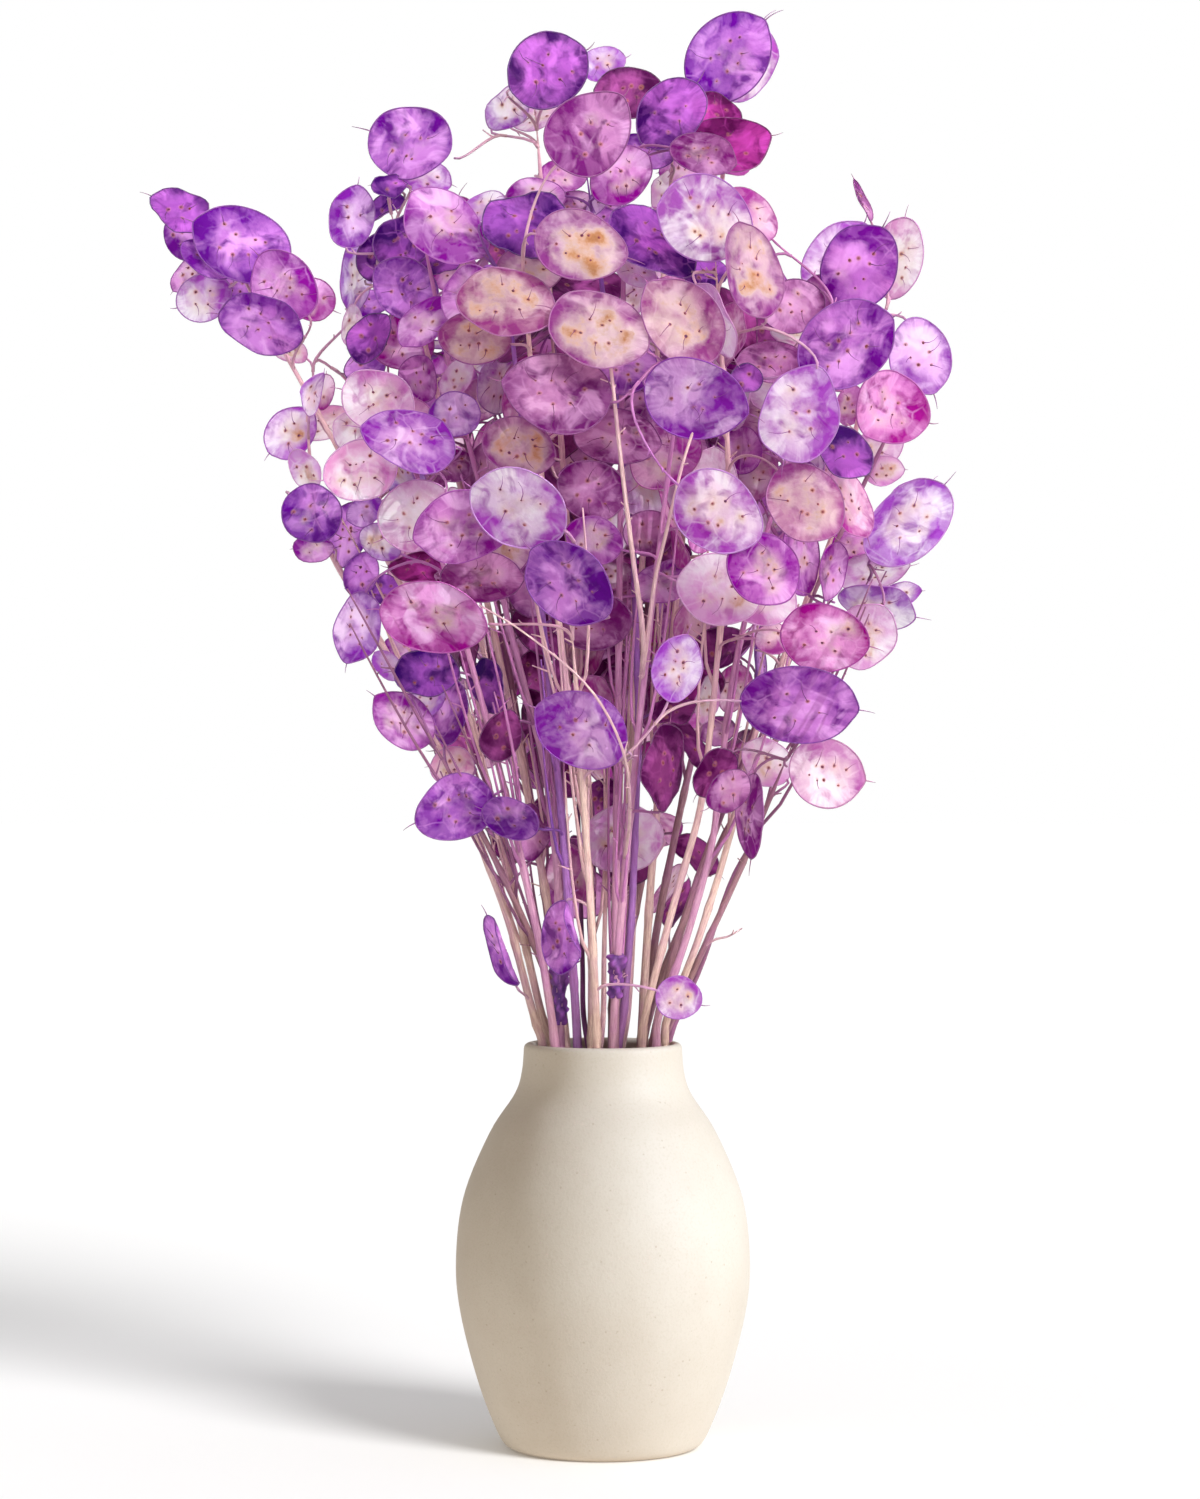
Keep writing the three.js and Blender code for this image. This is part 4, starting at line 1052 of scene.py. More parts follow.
class PodShape:
    """A pod's sheet in its own plane: x runs from its stalk's end to its tip, y across it."""

    def __init__(self, pod, rng):
        self.a, self.b, self.rng = pod["a"], pod["b"], rng
        self.egg = rng.uniform(*EGG)
        self.tip = rng.choice(TIPS)
        self.crumple = CRUMPLED.get(pod["dye"], 1) * rng.uniform(*CRUMPLE)
        self.waves = [(k, WAVE * self.crumple * rng.random(), rng.uniform(0, 2 * math.pi)) for k in WAVES]
        self.cup = CUP * self.a * rng.uniform(-1, 1)
        lifts = RIPPLE * self.crumple * rng.uniform(0.2, 1, 3)
        self.ripples = [(k, lift, rng.uniform(0, 2 * math.pi)) for k, lift in zip(RIPPLES, lifts)]
        self.starts = rng.uniform(0, 2 * math.pi, 2)
        self.fold = self.choose_fold(pod)
        edge = self.outline(np.linspace(-math.pi, math.pi, 181))
        angles = np.arctan2(edge[:, 1], edge[:, 0])
        order = np.argsort(angles)
        self.edge_angles = angles[order]
        self.edge_reach = np.hypot(edge[:, 0], edge[:, 1])[order]
        self.scars = self.scar_places()

    def choose_fold(self, pod):
        """The way that the fold faces, how far out it starts and its bend, or None."""
        if "fold" in pod:
            facing, share, bend = pod["fold"]
            flat_way = unit(np.array([dots(facing, pod["u"]), dots(facing, pod["v"])]))
            return flat_way, share * self.b, math.radians(bend)
        if self.rng.random() < CREASED:
            turn = self.rng.uniform(0, 2 * math.pi)
            flat_way = np.array([math.cos(turn), math.sin(turn)])
            bend = self.rng.choice((-1, 1)) * self.rng.uniform(*CREASE_BEND) * self.crumple
            return flat_way, self.rng.uniform(*CREASE_PLACE) * self.b, math.radians(bend)
        return None

    def outline(self, turn):
        """The edge's points at those turns: a waved oval, slimmer at one end and drawn out at both."""
        wave = 1 + sum(size * np.cos(k * turn + start) for k, size, start in self.waves)
        tip = self.tip * np.exp(-((turn / TIP_WIDTH) ** 2))
        base = BASE * np.exp(-(((np.abs(turn) - math.pi) / BASE_WIDTH) ** 2))
        x = self.a * (np.cos(turn) * wave + tip - base)
        y = self.b * np.sin(turn) * (1 - self.egg * np.cos(turn)) * wave
        return np.stack([x, y], -1)

    def share(self, flat):
        """How far out each point lies, from 0 at the middle to 1 at the rim."""
        angle = np.arctan2(flat[:, 1], flat[:, 0])
        reach = np.interp(angle, self.edge_angles, self.edge_reach, period=2 * math.pi)
        return np.hypot(flat[:, 0], flat[:, 1]) / reach

    def from_scars(self, flat):
        """How far each point lies from the nearest scar."""
        return np.hypot(*(flat[:, None] - self.scars).transpose(2, 0, 1)).min(1)

    def scar_places(self):
        """The scars of the seeds, in two loose rows beside the middle."""
        count = 2 if self.a < SMALL_POD else 4 if self.a < MIDDLING_POD else int(self.rng.integers(*SEEDS))
        places = []
        for i in range(count):
            stray = self.rng.uniform(-SEED_STRAY, SEED_STRAY)
            x = self.a * (-SEED_SPAN / 2 + SEED_SPAN * (i + 0.5) / count + stray)
            y = self.b * (1 if i % 2 else -1) * self.rng.uniform(*SEED_ROWS)
            places.append((x, y))
        return np.array(places)

    def height(self, flat):
        """How far the sheet stands off its plane: its cup, ripples and dents, and a bump at each seed."""
        out = self.share(flat)
        angle = np.arctan2(flat[:, 1], flat[:, 0])
        high = self.cup * out**2
        for k, size, start in self.ripples:
            high = high + size * out**3 * np.sin(k * angle + start)
        along, across = (flat[:, i] * DENT_WAVES[i] + self.starts[i] for i in (0, 1))
        high = high + DENT * self.crumple**2 * (np.sin(along) * np.cos(across))
        return high + SCAR_BUMP * np.exp(-((self.from_scars(flat) / SCAR_BUMP_R) ** 2))

    def lifted(self, flat, above=0.0):
        """The points in the pod's own three directions, folded where the pod is."""
        high = self.height(flat) + above
        if self.fold:
            way, start, bend = self.fold
            beyond = self.beyond(flat)
            flat = flat - way * (beyond * (1 - math.cos(bend)))[:, None]
            high = high + beyond * math.sin(bend)
        return np.concatenate([flat, high[:, None]], -1)

    def beyond(self, flat):
        """How far each point lies past the fold."""
        way, start, _ = self.fold
        return np.maximum(0, flat @ way - start)

    def sheet(self):
        """The points and faces of the sheet, denser round the scars."""
        steps = max(3, round(self.b / SHEET_STEP))
        around = 2 * math.pi * math.sqrt((self.a**2 + self.b**2) / 2)
        rim_count = max(LEAST_OUTLINE, round(around / OUTLINE_STEP))
        rim = self.outline(turns(rim_count) - math.pi)
        inner = []
        for i in range(1, steps):
            share = 1 - i / steps
            count = max(LEAST_RING, round(rim_count * share))
            turn = 2 * math.pi * (np.arange(count) + self.rng.uniform(0, 1)) / count - math.pi
            inner.append(self.outline(turn) * share)
        inner = np.concatenate(inner + [np.zeros((1, 2))])
        inner = inner[self.from_scars(inner) > SCAR_CLEAR]
        scars = [self.scars]
        for r, count in SCAR_RINGS:
            turn = turns(count)
            ring = self.scars[:, None] + r * np.stack([np.cos(turn), np.sin(turn)], -1)
            scars.append(ring.reshape(-1, 2))
        if self.fold:
            way, start, _ = self.fold
            step = np.arange(-self.a, self.a, FOLD_STEP)
            scars.append(way * start + step[:, None] * np.array([-way[1], way[0]]))
        scars = np.concatenate(scars)
        scars = scars[self.share(scars) < 0.93]
        flat = np.concatenate([rim, inner, scars])
        found = delaunay_2d_cdt([Vector(p) for p in flat], [], [list(range(rim_count))], 1, 1e-3)
        return rim, np.array([tuple(p) for p in found[0]]), found[2]


def pod_paint(shape, flat, pod, rng):
    """What is painted on the points of a pod's sheet."""
    dye, pale, heart = POD_DYES[pod["dye"]]
    heart = heart * rng.uniform(*HEART_SHARE)
    shift = rng.normal(0, DYE_SHIFT, 3)
    out = shape.share(flat)
    along, lean = rng.uniform(0, 2 * math.pi), rng.uniform(*WASH_LEAN)
    slope = (flat[:, 0] * math.cos(along) / shape.a + flat[:, 1] * math.sin(along) / shape.b) * lean
    centre = np.array([rng.uniform(-0.35, 0.35) * shape.a, rng.uniform(-0.3, 0.3) * shape.b])
    from_centre = np.hypot((flat[:, 0] - centre[0]) / shape.a, (flat[:, 1] - centre[1]) / shape.b)
    near = shape.from_scars(flat)
    angle = np.arctan2(flat[:, 1] / shape.b, flat[:, 0] / shape.a)
    ray = np.stack([np.cos(angle), np.sin(angle), 0 * angle], -1) + rng.uniform(0, 50, 3)
    wash = 0.5 + 0.5 * slope - WASH_RIM * out**3 + WASH_CENTRE * (1 - from_centre)
    # painted light and shade on a fold's flap: darker where it is bent back, paler where it is bent forward
    if shape.fold:
        wash = wash + FLAP_LIGHT_AND_SHADE * np.clip(shape.beyond(flat), 0, 1) * math.sin(shape.fold[2])
    amber = HEART[0] - HEART[1] * from_centre + SEED_HEART * np.exp(-((near / SEED_HEART_R) ** 2))
    return {
        "dye": np.clip(dye * (1 + shift), 0, 1),
        "pale": np.clip(pale * (1 + PALE_SHIFT * shift), 0, 1),
        "ray": ray,
        "wash": np.clip(wash, 0, 1),
        "amber": heart * np.clip(amber, 0, 1),
        "stain": np.exp(-((near / STAIN_R) ** 2)),
        "edge": out,
    }


def add_pod(piece, pod, rng):
    """A pod: its papery sheet, the rim round it, its seeds' scars and threads, and the whisker at its tip."""
    shape = PodShape(pod, rng)
    axes = np.array([pod["u"], pod["v"], pod["n"]])

    def place(local):
        return pod["c"] + local @ axes

    rim, flat, faces = shape.sheet()
    paint = pod_paint(shape, flat, pod, rng)
    piece.add(place(shape.lifted(flat)), faces, SHEET, **paint)
    full, pale, _ = POD_DYES[pod["dye"]]
    dark = full * RIM_SHADE
    thin = min(1, math.sqrt(pod["a"] / FULL_POD))
    points, faces = loop_tube(place(shape.lifted(rim)), RIM_R * thin, RIM_SIDES, pod["n"])
    piece.add(points, faces, THREAD, dye=dark + (pale - dark) * rng.uniform(*RIM_PALE))
    for scar in shape.scars:
        add_scar(piece, shape, place, scar, dark, rng)
    tip = shape.lifted(shape.outline(np.zeros(1)))[0]
    reach = rng.uniform(*WHISKER_LONG) * pod["a"] if pod["a"] > SMALL_POD else SHORT_WHISKER
    t = np.linspace(0, 1, 5)[:, None]
    bend = rng.uniform(-WHISKER_BEND, WHISKER_BEND, 2)
    whisker = tip + t * reach * np.array([1, 0, 0]) + t**2 * reach * np.array([0, *bend])
    points, faces = tube(place(whisker), WHISKER_R * thin * np.linspace(1.2, 0.4, 5), 4, side=pod["n"])
    piece.add(points, faces, THREAD, dye=dark * 0.5 + WHISKER * 0.5)


def add_scar(piece, shape, place, at, dark, rng):
    """A seed's dark scar, and the thin thread that ran from it towards the rim."""
    turn = turns(SCAR_SIDES) + rng.uniform(0, 1)
    size = SEED_R * rng.uniform(*SEED_SIZES)
    ring = at + size * np.stack([np.cos(turn), np.sin(turn) * rng.uniform(0.6, 1)], -1)
    flat = np.vstack([ring, at, at])
    above = np.array([SCAR_LIFT] * SCAR_SIDES + [SCAR_RISE, -SCAR_RISE])
    edges = [(k, (k + 1) % SCAR_SIDES) for k in range(SCAR_SIDES)]
    faces = [(k, after, SCAR_SIDES) for k, after in edges]
    faces += [(after, k, SCAR_SIDES + 1) for k, after in edges]
    piece.add(place(shape.lifted(flat, above)), faces, THREAD, dye=SCAR + (SCAR_DARK - SCAR) * rng.random())
    if rng.random() > THREADED:
        return
    outward = math.atan2(at[1] + math.copysign(2, at[1]), at[0] * 0.4)
    outward += rng.uniform(-THREAD_SWAY, THREAD_SWAY)
    long = rng.uniform(*THREAD_LONG) * shape.b
    t = np.linspace(0, 1, 4)[:, None]
    way = np.array([math.cos(outward), math.sin(outward)])
    across = np.array([-way[1], way[0]]) * rng.uniform(-THREAD_SWAY, THREAD_SWAY)
    line = at + t * long * way + t * (1 - t) * long * across
    line = line[shape.share(line) < 0.97]
    if len(line) > 1:
        lifted = place(shape.lifted(line, THREAD_LIFT))
        points, faces = tube(lifted, THREAD_R * np.linspace(1.2, 0.5, len(line)), 3, side=THREAD_SIDE)
        piece.add(points, faces, THREAD, dye=dark * 0.5 + SCAR_DARK * 0.5)


# ---- Stems and stalks ----
def rounded(line):
    """The stem's line with its bends rounded, in short steps."""
    out = [line[0]]
    for before, at, after in zip(line[:-2], line[1:-1], line[2:]):
        back, on = before - at, after - at
        start = at + back * min(0.45, CORNER / math.sqrt(dots(back, back)))
        end = at + on * min(0.45, CORNER / math.sqrt(dots(on, on)))
        for t in (0, 0.25, 0.5, 0.75, 1):
            out.append(start * (1 - t) ** 2 + at * 2 * t * (1 - t) + end * t**2)
    return stepped(np.array(out + [line[-1]]), STEM_FINE_STEP)


def nearest(line, p):
    """The point of the line that is nearest to p."""
    way = line[1:] - line[:-1]
    share = np.clip(dots(p - line[:-1], way) / dots(way, way), 0, 1)
    at = line[:-1] + way * share[:, None]
    return at[np.argmin(((at - p) ** 2).sum(-1))]


def add_wood(piece, path, radii, sides, tint, rib=0.0):
    """A stretch of wood with one tint, or one for each point of its path, and the ways of its grain."""
    points, faces = tube(path, radii, sides, rib=rib)
    along = np.repeat(reach_along(path), sides)
    turn = np.tile(turns(sides), len(path))
    ray = np.stack([np.cos(turn), np.sin(turn), along / 20], -1) + path[0] / 7
    piece.add(points, faces, dye=np.repeat(np.broadcast_to(tint, path.shape), sides, 0), ray=ray)


def add_spurs(piece, path, places, spurs, tint, rng):
    """Short dry twigs that stand off the wood, at a drawn share of the places along its path."""
    share, longs = spurs
    way = ways(path)
    tint = np.broadcast_to(tint, path.shape)
    t = np.linspace(0, 1, len(SPUR_RADII))[:, None]
    for i in places:
        if rng.random() < share:
            long = rng.uniform(*longs)
            off = unit(np.cross(way[i], rng.normal(0, 1, 3)))
            spur = path[i] + (way[i] * 0.55 + off * 0.8) * t * long
            spur = spur + off * t**2 * long * rng.uniform(*SPUR_BEND)
            add_wood(piece, spur, SPUR_RADII, SPUR_SIDES, tint[i])


def add_stem(piece, stem, rng, shade):
    """The stem's wood, and its path and upper tint for what grows on it."""
    low, high = STEM_SHADES[shade]
    path = rounded(stem["line"])
    steps = reach_along(path)
    share = steps / steps[-1]
    coarse = reach_along(stem["line"])
    radii = np.interp(share, coarse / coarse[-1], np.linspace(STEM_FOOT_R, STEM_TIP_R, len(coarse)))
    node_off = rng.uniform(0, NODE_SPACING)
    from_node = np.abs((steps + node_off) % NODE_SPACING - NODE_SPACING / 2)
    radii = radii * (1 + NODE_SWELL * np.exp(-((from_node / NODE_LENGTH) ** 2)))
    radii = radii * np.clip((steps[-1] - steps) / STEM_TAPER, 0.3, 1)
    mix = np.clip((path[:, 2:] - HUE_FROM) / HUE_SPAN, 0, 1) ** 0.8
    # painted shade: the stems darken towards the lip, where they crowd together
    foot = np.clip((STEM_PAINTED_SHADE_BELOW - path[:, 2:]) / STEM_PAINTED_SHADE_SPAN, 0, 1)
    tint = (low * (1 - mix) + high * mix) * (1 - STEM_PAINTED_SHADE * foot)
    add_wood(piece, path, radii, STEM_FINE_SIDES, tint, rib=RIB)
    nodes = np.nonzero((from_node < STEM_FINE_STEP / 2) & (path[:, 2] > LOWEST_BUD + 10))[0]
    add_spurs(piece, path, nodes, STEM_SPURS, tint, rng)
    return path, high


def add_shoots(piece, stem, rng, tint):
    for shoot in stem["shoots"]:
        add_wood(piece, shoot, np.linspace(*SHOOT_R, len(shoot)), STALK_SIDES, tint)
        add_spurs(piece, shoot, range(2, len(shoot) - 1), SHOOT_SPURS, tint, rng)


def add_low_shoots(piece, number, tint):
    for stem, points in LOW_SHOOTS:
        if stem == number:
            path = stepped(through_points(points, ROUTE_STEPS), STEM_FINE_STEP)
            add_wood(piece, path, np.linspace(*LOW_SHOOT_R, len(path)), STEM_FINE_SIDES, tint, rib=RIB)


def add_twigs(piece, rng):
    for points, radii in TWIGS:
        route = through_points([placed(x, z, y) for x, z, y in points], ROUTE_STEPS)
        path = stepped(route, STALK_FINE_STEP)
        add_wood(piece, path, np.linspace(*radii, len(path)), STALK_SIDES, TWIG_TINT)
        add_spurs(piece, path, range(3, len(path) - 2), TWIG_SPURS, TWIG_TINT, rng)


def add_sheath(piece, path, low, high, rng):
    """A dark dry leaf that is crumpled round its stem."""
    part = stepped(path[(path[:, 2] > low) & (path[:, 2] < high)], 1.2)
    share = np.linspace(0, 1, len(part))
    radii = STEM_FOOT_R + SHEATH_OUT * (0.4 + share + 0.5 * np.sin(share * 9))
    sides = 14
    points, faces = tube(part, radii, sides)
    turn = np.tile(turns(sides), len(part))
    along = np.repeat(share, sides)
    push = 1 + 0.28 * np.sin(3 * turn + 14 * along) + 0.2 * np.sin(5 * turn - 23 * along)
    push = push + rng.normal(0, 0.05, len(turn))
    middle = np.repeat(part, sides, 0)
    points = middle + (points - middle) * push[:, None]
    full, pale, _ = POD_DYES["deep"]
    # painted highlight: the crumples that stand out furthest are painted paler
    tint = full + (pale - full) * np.clip(push - 0.9, 0, 1)[:, None]
    ray = np.stack([np.cos(turn), np.sin(turn), along * 3], -1)
    piece.add(points, faces, dye=tint, ray=ray)


def add_stalks(piece, stem, stem_path, rng, tint):
    """The stalks of a stem, each from the wood that carries it to its pod."""
    paths = [stem_path]
    for stalk, pod in zip(stem["stalks"], stem["pods"]):
        bud = nearest(paths[stalk["wood"]], stalk["bud"])
        end = pod["c"] - pod["u"] * pod["a"]
        steps = max(5, round(far_apart(bud, end) / STALK_FINE_STEP))
        path = stalk_curve(bud, stalk["way"], pod, steps)
        paths.append(path)
        radii = np.linspace(*STALK_RADII, steps + 1)
        radii[-2:] = STALK_END_RADII
        dye = POD_DYES[pod["dye"]][0]
        mix = np.linspace(0.1, 0.55, steps + 1)[:, None]
        shade = tint * (1 - mix) + (dye * 0.8 + 0.04) * mix
        add_wood(piece, path, radii, STALK_SIDES, shade)
        add_spurs(piece, path, range(2, steps - 1), STALK_SPURS, shade, rng)


# ---- Materials ----
class Graph:
    """A material's nodes, made and joined by short calls."""

    def __init__(self, name):
        self.material = bpy.data.materials.new(name)
        self.material.use_nodes = True
        self.tree = self.material.node_tree
        self.tree.nodes.clear()

    def feed(self, socket, value):
        if isinstance(value, bpy.types.NodeSocket):
            self.tree.links.new(value, socket)
        elif hasattr(value, "__len__"):
            fits = len(socket.default_value)
            socket.default_value = tuple(value) + (1.0,) * (fits - len(value))
        else:
            socket.default_value = value

    def node(self, kind, settings=None, **inputs):
        node = self.tree.nodes.new("ShaderNode" + kind)
        for name, value in (settings or {}).items():
            setattr(node, name, value)
        for name, value in inputs.items():
            self.feed(node.inputs[name.replace("_", " ")], value)
        return node

    def place(self):
        """The place on the piece, in metres."""
        return self.node("TexCoord").outputs["Object"]

    def painted(self, name, output="Fac"):
        """What a piece's points are painted with under that name."""
        return self.node("Attribute", {"attribute_name": name}).outputs[output]

    def noise(self, at, scale, detail=3.0, roughness=0.5, distortion=0.0):
        return self.node(
            "TexNoise",
            Vector=at,
            Scale=scale,
            Detail=detail,
            Roughness=roughness,
            Distortion=distortion,
        ).outputs["Fac"]

    def calc(self, operation, *values, clamp=False):
        node = self.node("Math", {"operation": operation, "use_clamp": clamp})
        for socket, value in zip(node.inputs, values):
            self.feed(socket, value)
        return node.outputs[0]

    def ramp(self, value, low, high, to_low=0.0, to_high=1.0):
        node = self.node("MapRange", Value=value)
        for name, bound in zip(("From Min", "From Max", "To Min", "To Max"), (low, high, to_low, to_high)):
            self.feed(node.inputs[name], bound)
        return node.outputs[0]

    def mix(self, share, first, second, blend="MIX"):
        node = self.node("Mix", {"data_type": "RGBA", "blend_type": blend, "clamp_factor": True})
        for socket, value in zip((node.inputs[0], node.inputs[6], node.inputs[7]), (share, first, second)):
            self.feed(socket, value)
        return node.outputs[2]

    def bump(self, height, strength, distance):
        return self.node("Bump", Height=height, Strength=strength, Distance=distance).outputs[0]

    def shaders(self, share, first, second):
        node = self.node("MixShader")
        for socket, value in zip(node.inputs, (share, first, second)):
            self.feed(socket, value)
        return node.outputs[0]

    def finish(self, shader):
        self.tree.links.new(shader, self.node("OutputMaterial").inputs[0])
        return self.material


SHEET_SPREAD = 0.42  # the share of the light that shines through a pod's sheet and spreads
SHEET_CLEAR = (0.16, 0.32)  # the share that goes straight through, where it is dyed and where it is pale
SCAR_CLOSED = 0.15  # how much less that share is at a scar


def pod_sheet_material(name):
    """Papery dyed sheet: clouds of dye, fine creases, streaks at the rim and an amber heart."""
    g = Graph(name)
    at = g.place()
    dye, pale = g.painted("dye", "Color"), g.painted("pale", "Color")
    deepest = g.mix(1.0, dye, (0.72, 0.3, 0.72), "MULTIPLY")
    lightest = g.mix(0.9, pale, pale, "SCREEN")
    edge = g.painted("edge")
    stain = g.calc("MULTIPLY", g.painted("stain"), g.ramp(g.noise(at, 240, 2), 0.4, 0.6, 0.4, 1))
    fine = g.noise(at, 330, 3, 0.6)

    # Dye and ground: broad soft clouds, and patches with a ragged edge.
    wash = g.calc("ADD", g.painted("wash"), g.calc("MULTIPLY_ADD", g.noise(at, 50, 3, 0.5, 0.2), 2.8, -1.4))
    wash = g.calc("ADD", wash, g.calc("MULTIPLY_ADD", fine, 0.5, -0.25))
    share = g.ramp(wash, 0.2, 0.88)
    patch = g.ramp(g.noise(at, 84, 3, 0.5, 0.8), 0.47, 0.55)
    share = g.calc("MULTIPLY_ADD", patch, 0.22, g.calc("MULTIPLY", share, 0.84), clamp=True)
    colour = g.mix(share, dye, pale)
    dark = g.ramp(g.noise(at, 92, 3, 0.5, 1.0), 0.52, 0.68, 0, 0.8)
    colour = g.mix(dark, colour, deepest)
    bright = g.ramp(g.noise(at, 72, 3, 0.5, 0.8), 0.5, 0.62, 0, 0.95)
    colour = g.mix(g.calc("MULTIPLY", bright, g.ramp(share, 0, 1, 0.25, 1)), colour, lightest)

    # Creases: the straight edges of large cells, here and there.
    warped = g.node("VectorMath", {"operation": "MULTIPLY_ADD"})
    g.feed(warped.inputs[0], g.node("TexNoise", Vector=at, Scale=120.0).outputs["Color"])
    g.feed(warped.inputs[1], (0.003, 0.003, 0.003))
    g.feed(warped.inputs[2], at)
    edges = {"feature": "DISTANCE_TO_EDGE"}
    cells = g.node("TexVoronoi", edges, Vector=warped.outputs[0], Scale=85.0).outputs["Distance"]
    crease = g.calc("MULTIPLY", g.ramp(cells, 0.0, 0.05, 1, 0), g.ramp(g.noise(at, 60, 2), 0.46, 0.62))
    colour = g.mix(g.calc("MULTIPLY", crease, 0.3), colour, lightest)

    streak = g.ramp(g.noise(g.painted("ray", "Vector"), 9, 2, 0.6), 0.45, 0.65)
    near_rim = g.ramp(edge, 0.6, 1.0)
    colour = g.mix(g.calc("MULTIPLY", g.calc("MULTIPLY", streak, near_rim), 0.4), colour, dye)

    # The heart: a cream ground, and amber that gathers round the seeds.
    heart = g.painted("amber")
    blot = g.calc("MULTIPLY_ADD", g.noise(at, 90, 4, 0.6), 2.6, -0.8)
    blot = g.calc("ADD", blot, g.calc("MULTIPLY", heart, 0.42))
    blot = g.calc("MULTIPLY", blot, g.ramp(heart, 0.0, 0.3))
    colour = g.mix(g.ramp(blot, 0.2, 0.95, 0, 0.75), colour, CREAM)
    colour = g.mix(g.ramp(blot, 0.74, 1.3, 0, 0.85), colour, AMBER)
    colour = g.mix(g.ramp(blot, 1.1, 1.5, 0, 0.5), colour, BROWN)
    colour = g.mix(g.ramp(stain, 0.15, 0.7, 0, 0.42), colour, SCAR_HALO)
    colour = g.mix(g.ramp(stain, 0.4, 0.9, 0, 0.8), colour, SCAR)

    height = g.calc("MULTIPLY_ADD", fine, 0.5, g.noise(at, 900, 2, 0.5))
    height = g.calc("MULTIPLY_ADD", g.ramp(cells, 0.0, 0.4), 1.6, height)
    height = g.calc("MULTIPLY_ADD", g.noise(at, 110, 2, 0.5), 3.0, height)
    bump = g.bump(height, 0.5, 0.0004)
    paper = g.node("BsdfPrincipled", Base_Color=colour, Roughness=0.42, Normal=bump)
    paper.inputs["Specular IOR Level"].default_value = 0.1
    through = g.node("BsdfTranslucent", Color=colour, Normal=bump)
    clear = g.node("BsdfTransparent", Color=colour)
    body = g.shaders(SHEET_SPREAD, paper.outputs[0], through.outputs[0])
    closed = g.calc("MULTIPLY", stain, SCAR_CLOSED)
    thin = g.calc("SUBTRACT", g.ramp(share, 0, 1, *SHEET_CLEAR), closed, clamp=True)
    return g.finish(g.shaders(thin, body, clear.outputs[0]))


def thread_material(name):
    """The pods' wiry rims, whiskers and threads."""
    g = Graph(name)
    at = g.place()
    patch = g.ramp(g.noise(at, 500, 2), 0.4, 0.7, 0, 0.35)
    colour = g.mix(patch, g.painted("dye", "Color"), (0.34, 0.12, 0.3))
    paper = g.node("BsdfPrincipled", Base_Color=colour, Roughness=0.5)
    return g.finish(paper.outputs[0])


def wood_material(name):
    """Dry stem: cream to mauve, streaked along its length."""
    g = Graph(name)
    ray = g.painted("ray", "Vector")
    streak = g.noise(ray, 3.2, 4, 0.65)
    at = g.place()
    patch = g.ramp(g.noise(at, 45, 3, 0.6), 0.42, 0.68)
    tint = g.painted("dye", "Color")
    dark = g.mix(1.0, tint, (0.52, 0.33, 0.44), "MULTIPLY")
    colour = g.mix(g.ramp(streak, 0.42, 0.62, 0, 0.6), tint, dark)
    colour = g.mix(g.calc("MULTIPLY", patch, 0.35), colour, BARK_PATCH)
    bump = g.bump(streak, 0.5, 0.0004)
    wood = g.node("BsdfPrincipled", Base_Color=colour, Roughness=0.6, Normal=bump)
    return g.finish(wood.outputs[0])


def stoneware_material():
    """Matt cream stoneware with a sandy grain and fine specks."""
    g = Graph("Stoneware")
    at = g.place()
    cloud = g.noise(at, 14, 4, 0.6)
    grain = g.noise(at, 900, 3, 0.6)
    colour = g.mix(g.ramp(cloud, 0.35, 0.7), CLAY, CLAY_CLOUD)
    colour = g.mix(g.ramp(grain, 0.5, 0.75, 0, 0.35), colour, CLAY_GRAIN)
    specks = g.node("TexVoronoi", Vector=at, Scale=330.0).outputs["Distance"]
    chosen = g.ramp(g.noise(at, 260, 1), 0.6, 0.64)
    dot = g.calc("MULTIPLY", g.ramp(specks, 0.1, 0.22, 1, 0), chosen)
    colour = g.mix(g.calc("MULTIPLY", dot, 0.32), colour, CLAY_SPECK)
    height = g.calc("ADD", g.calc("MULTIPLY", g.noise(at, 60, 4, 0.55), 0.8), g.calc("MULTIPLY", grain, 0.35))
    bump = g.bump(height, 0.45, 0.0006)
    clay = g.node("BsdfPrincipled", Base_Color=colour, Roughness=0.6, Normal=bump)
    clay.inputs["Specular IOR Level"].default_value = 0.3
    return g.finish(clay.outputs[0])


# ---- Vase ----
VASE_TURNS = 128
VASE_FINE_STEPS = 60
LIP_POINTS = 13
# Radius and height of the foot's underside, from its hollow middle to its round edge.
FOOT = [[0, 1.2], [30, 1.2], [33, 0.2], [39.6, 0.0], [41.2, 0.5]]
FOOT_TOP = 1.5  # the outside goes on from this height
FLOOR_EDGE = (2.5, 2)  # how far in from the wall the floor begins, and how far above it the wall ends


def through_points(points, count):
    """A smooth line through the points, the CAD model's own (a uniform Catmull-Rom spline)."""
    points = np.array(points, float)
    out = []
    for i in range(count + 1):
        at = (len(points) - 1) * i / count
        k = min(math.floor(at), len(points) - 1)
        t = at - k
        p0, p1 = points[max(k - 1, 0)], points[k]
        p2, p3 = points[min(k + 1, len(points) - 1)], points[min(k + 2, len(points) - 1)]
        if k == len(points) - 1:
            p0, p2, p3 = points[k - 1], p1, p1
        m1, m2 = (p2 - p0) / 2, (p3 - p1) / 2
        out.append((2 * p1 - 2 * p2 + m1 + m2) * t**3 + (3 * p2 - 3 * p1 - 2 * m1 - m2) * t**2 + m1 * t + p1)
    return np.array(out)


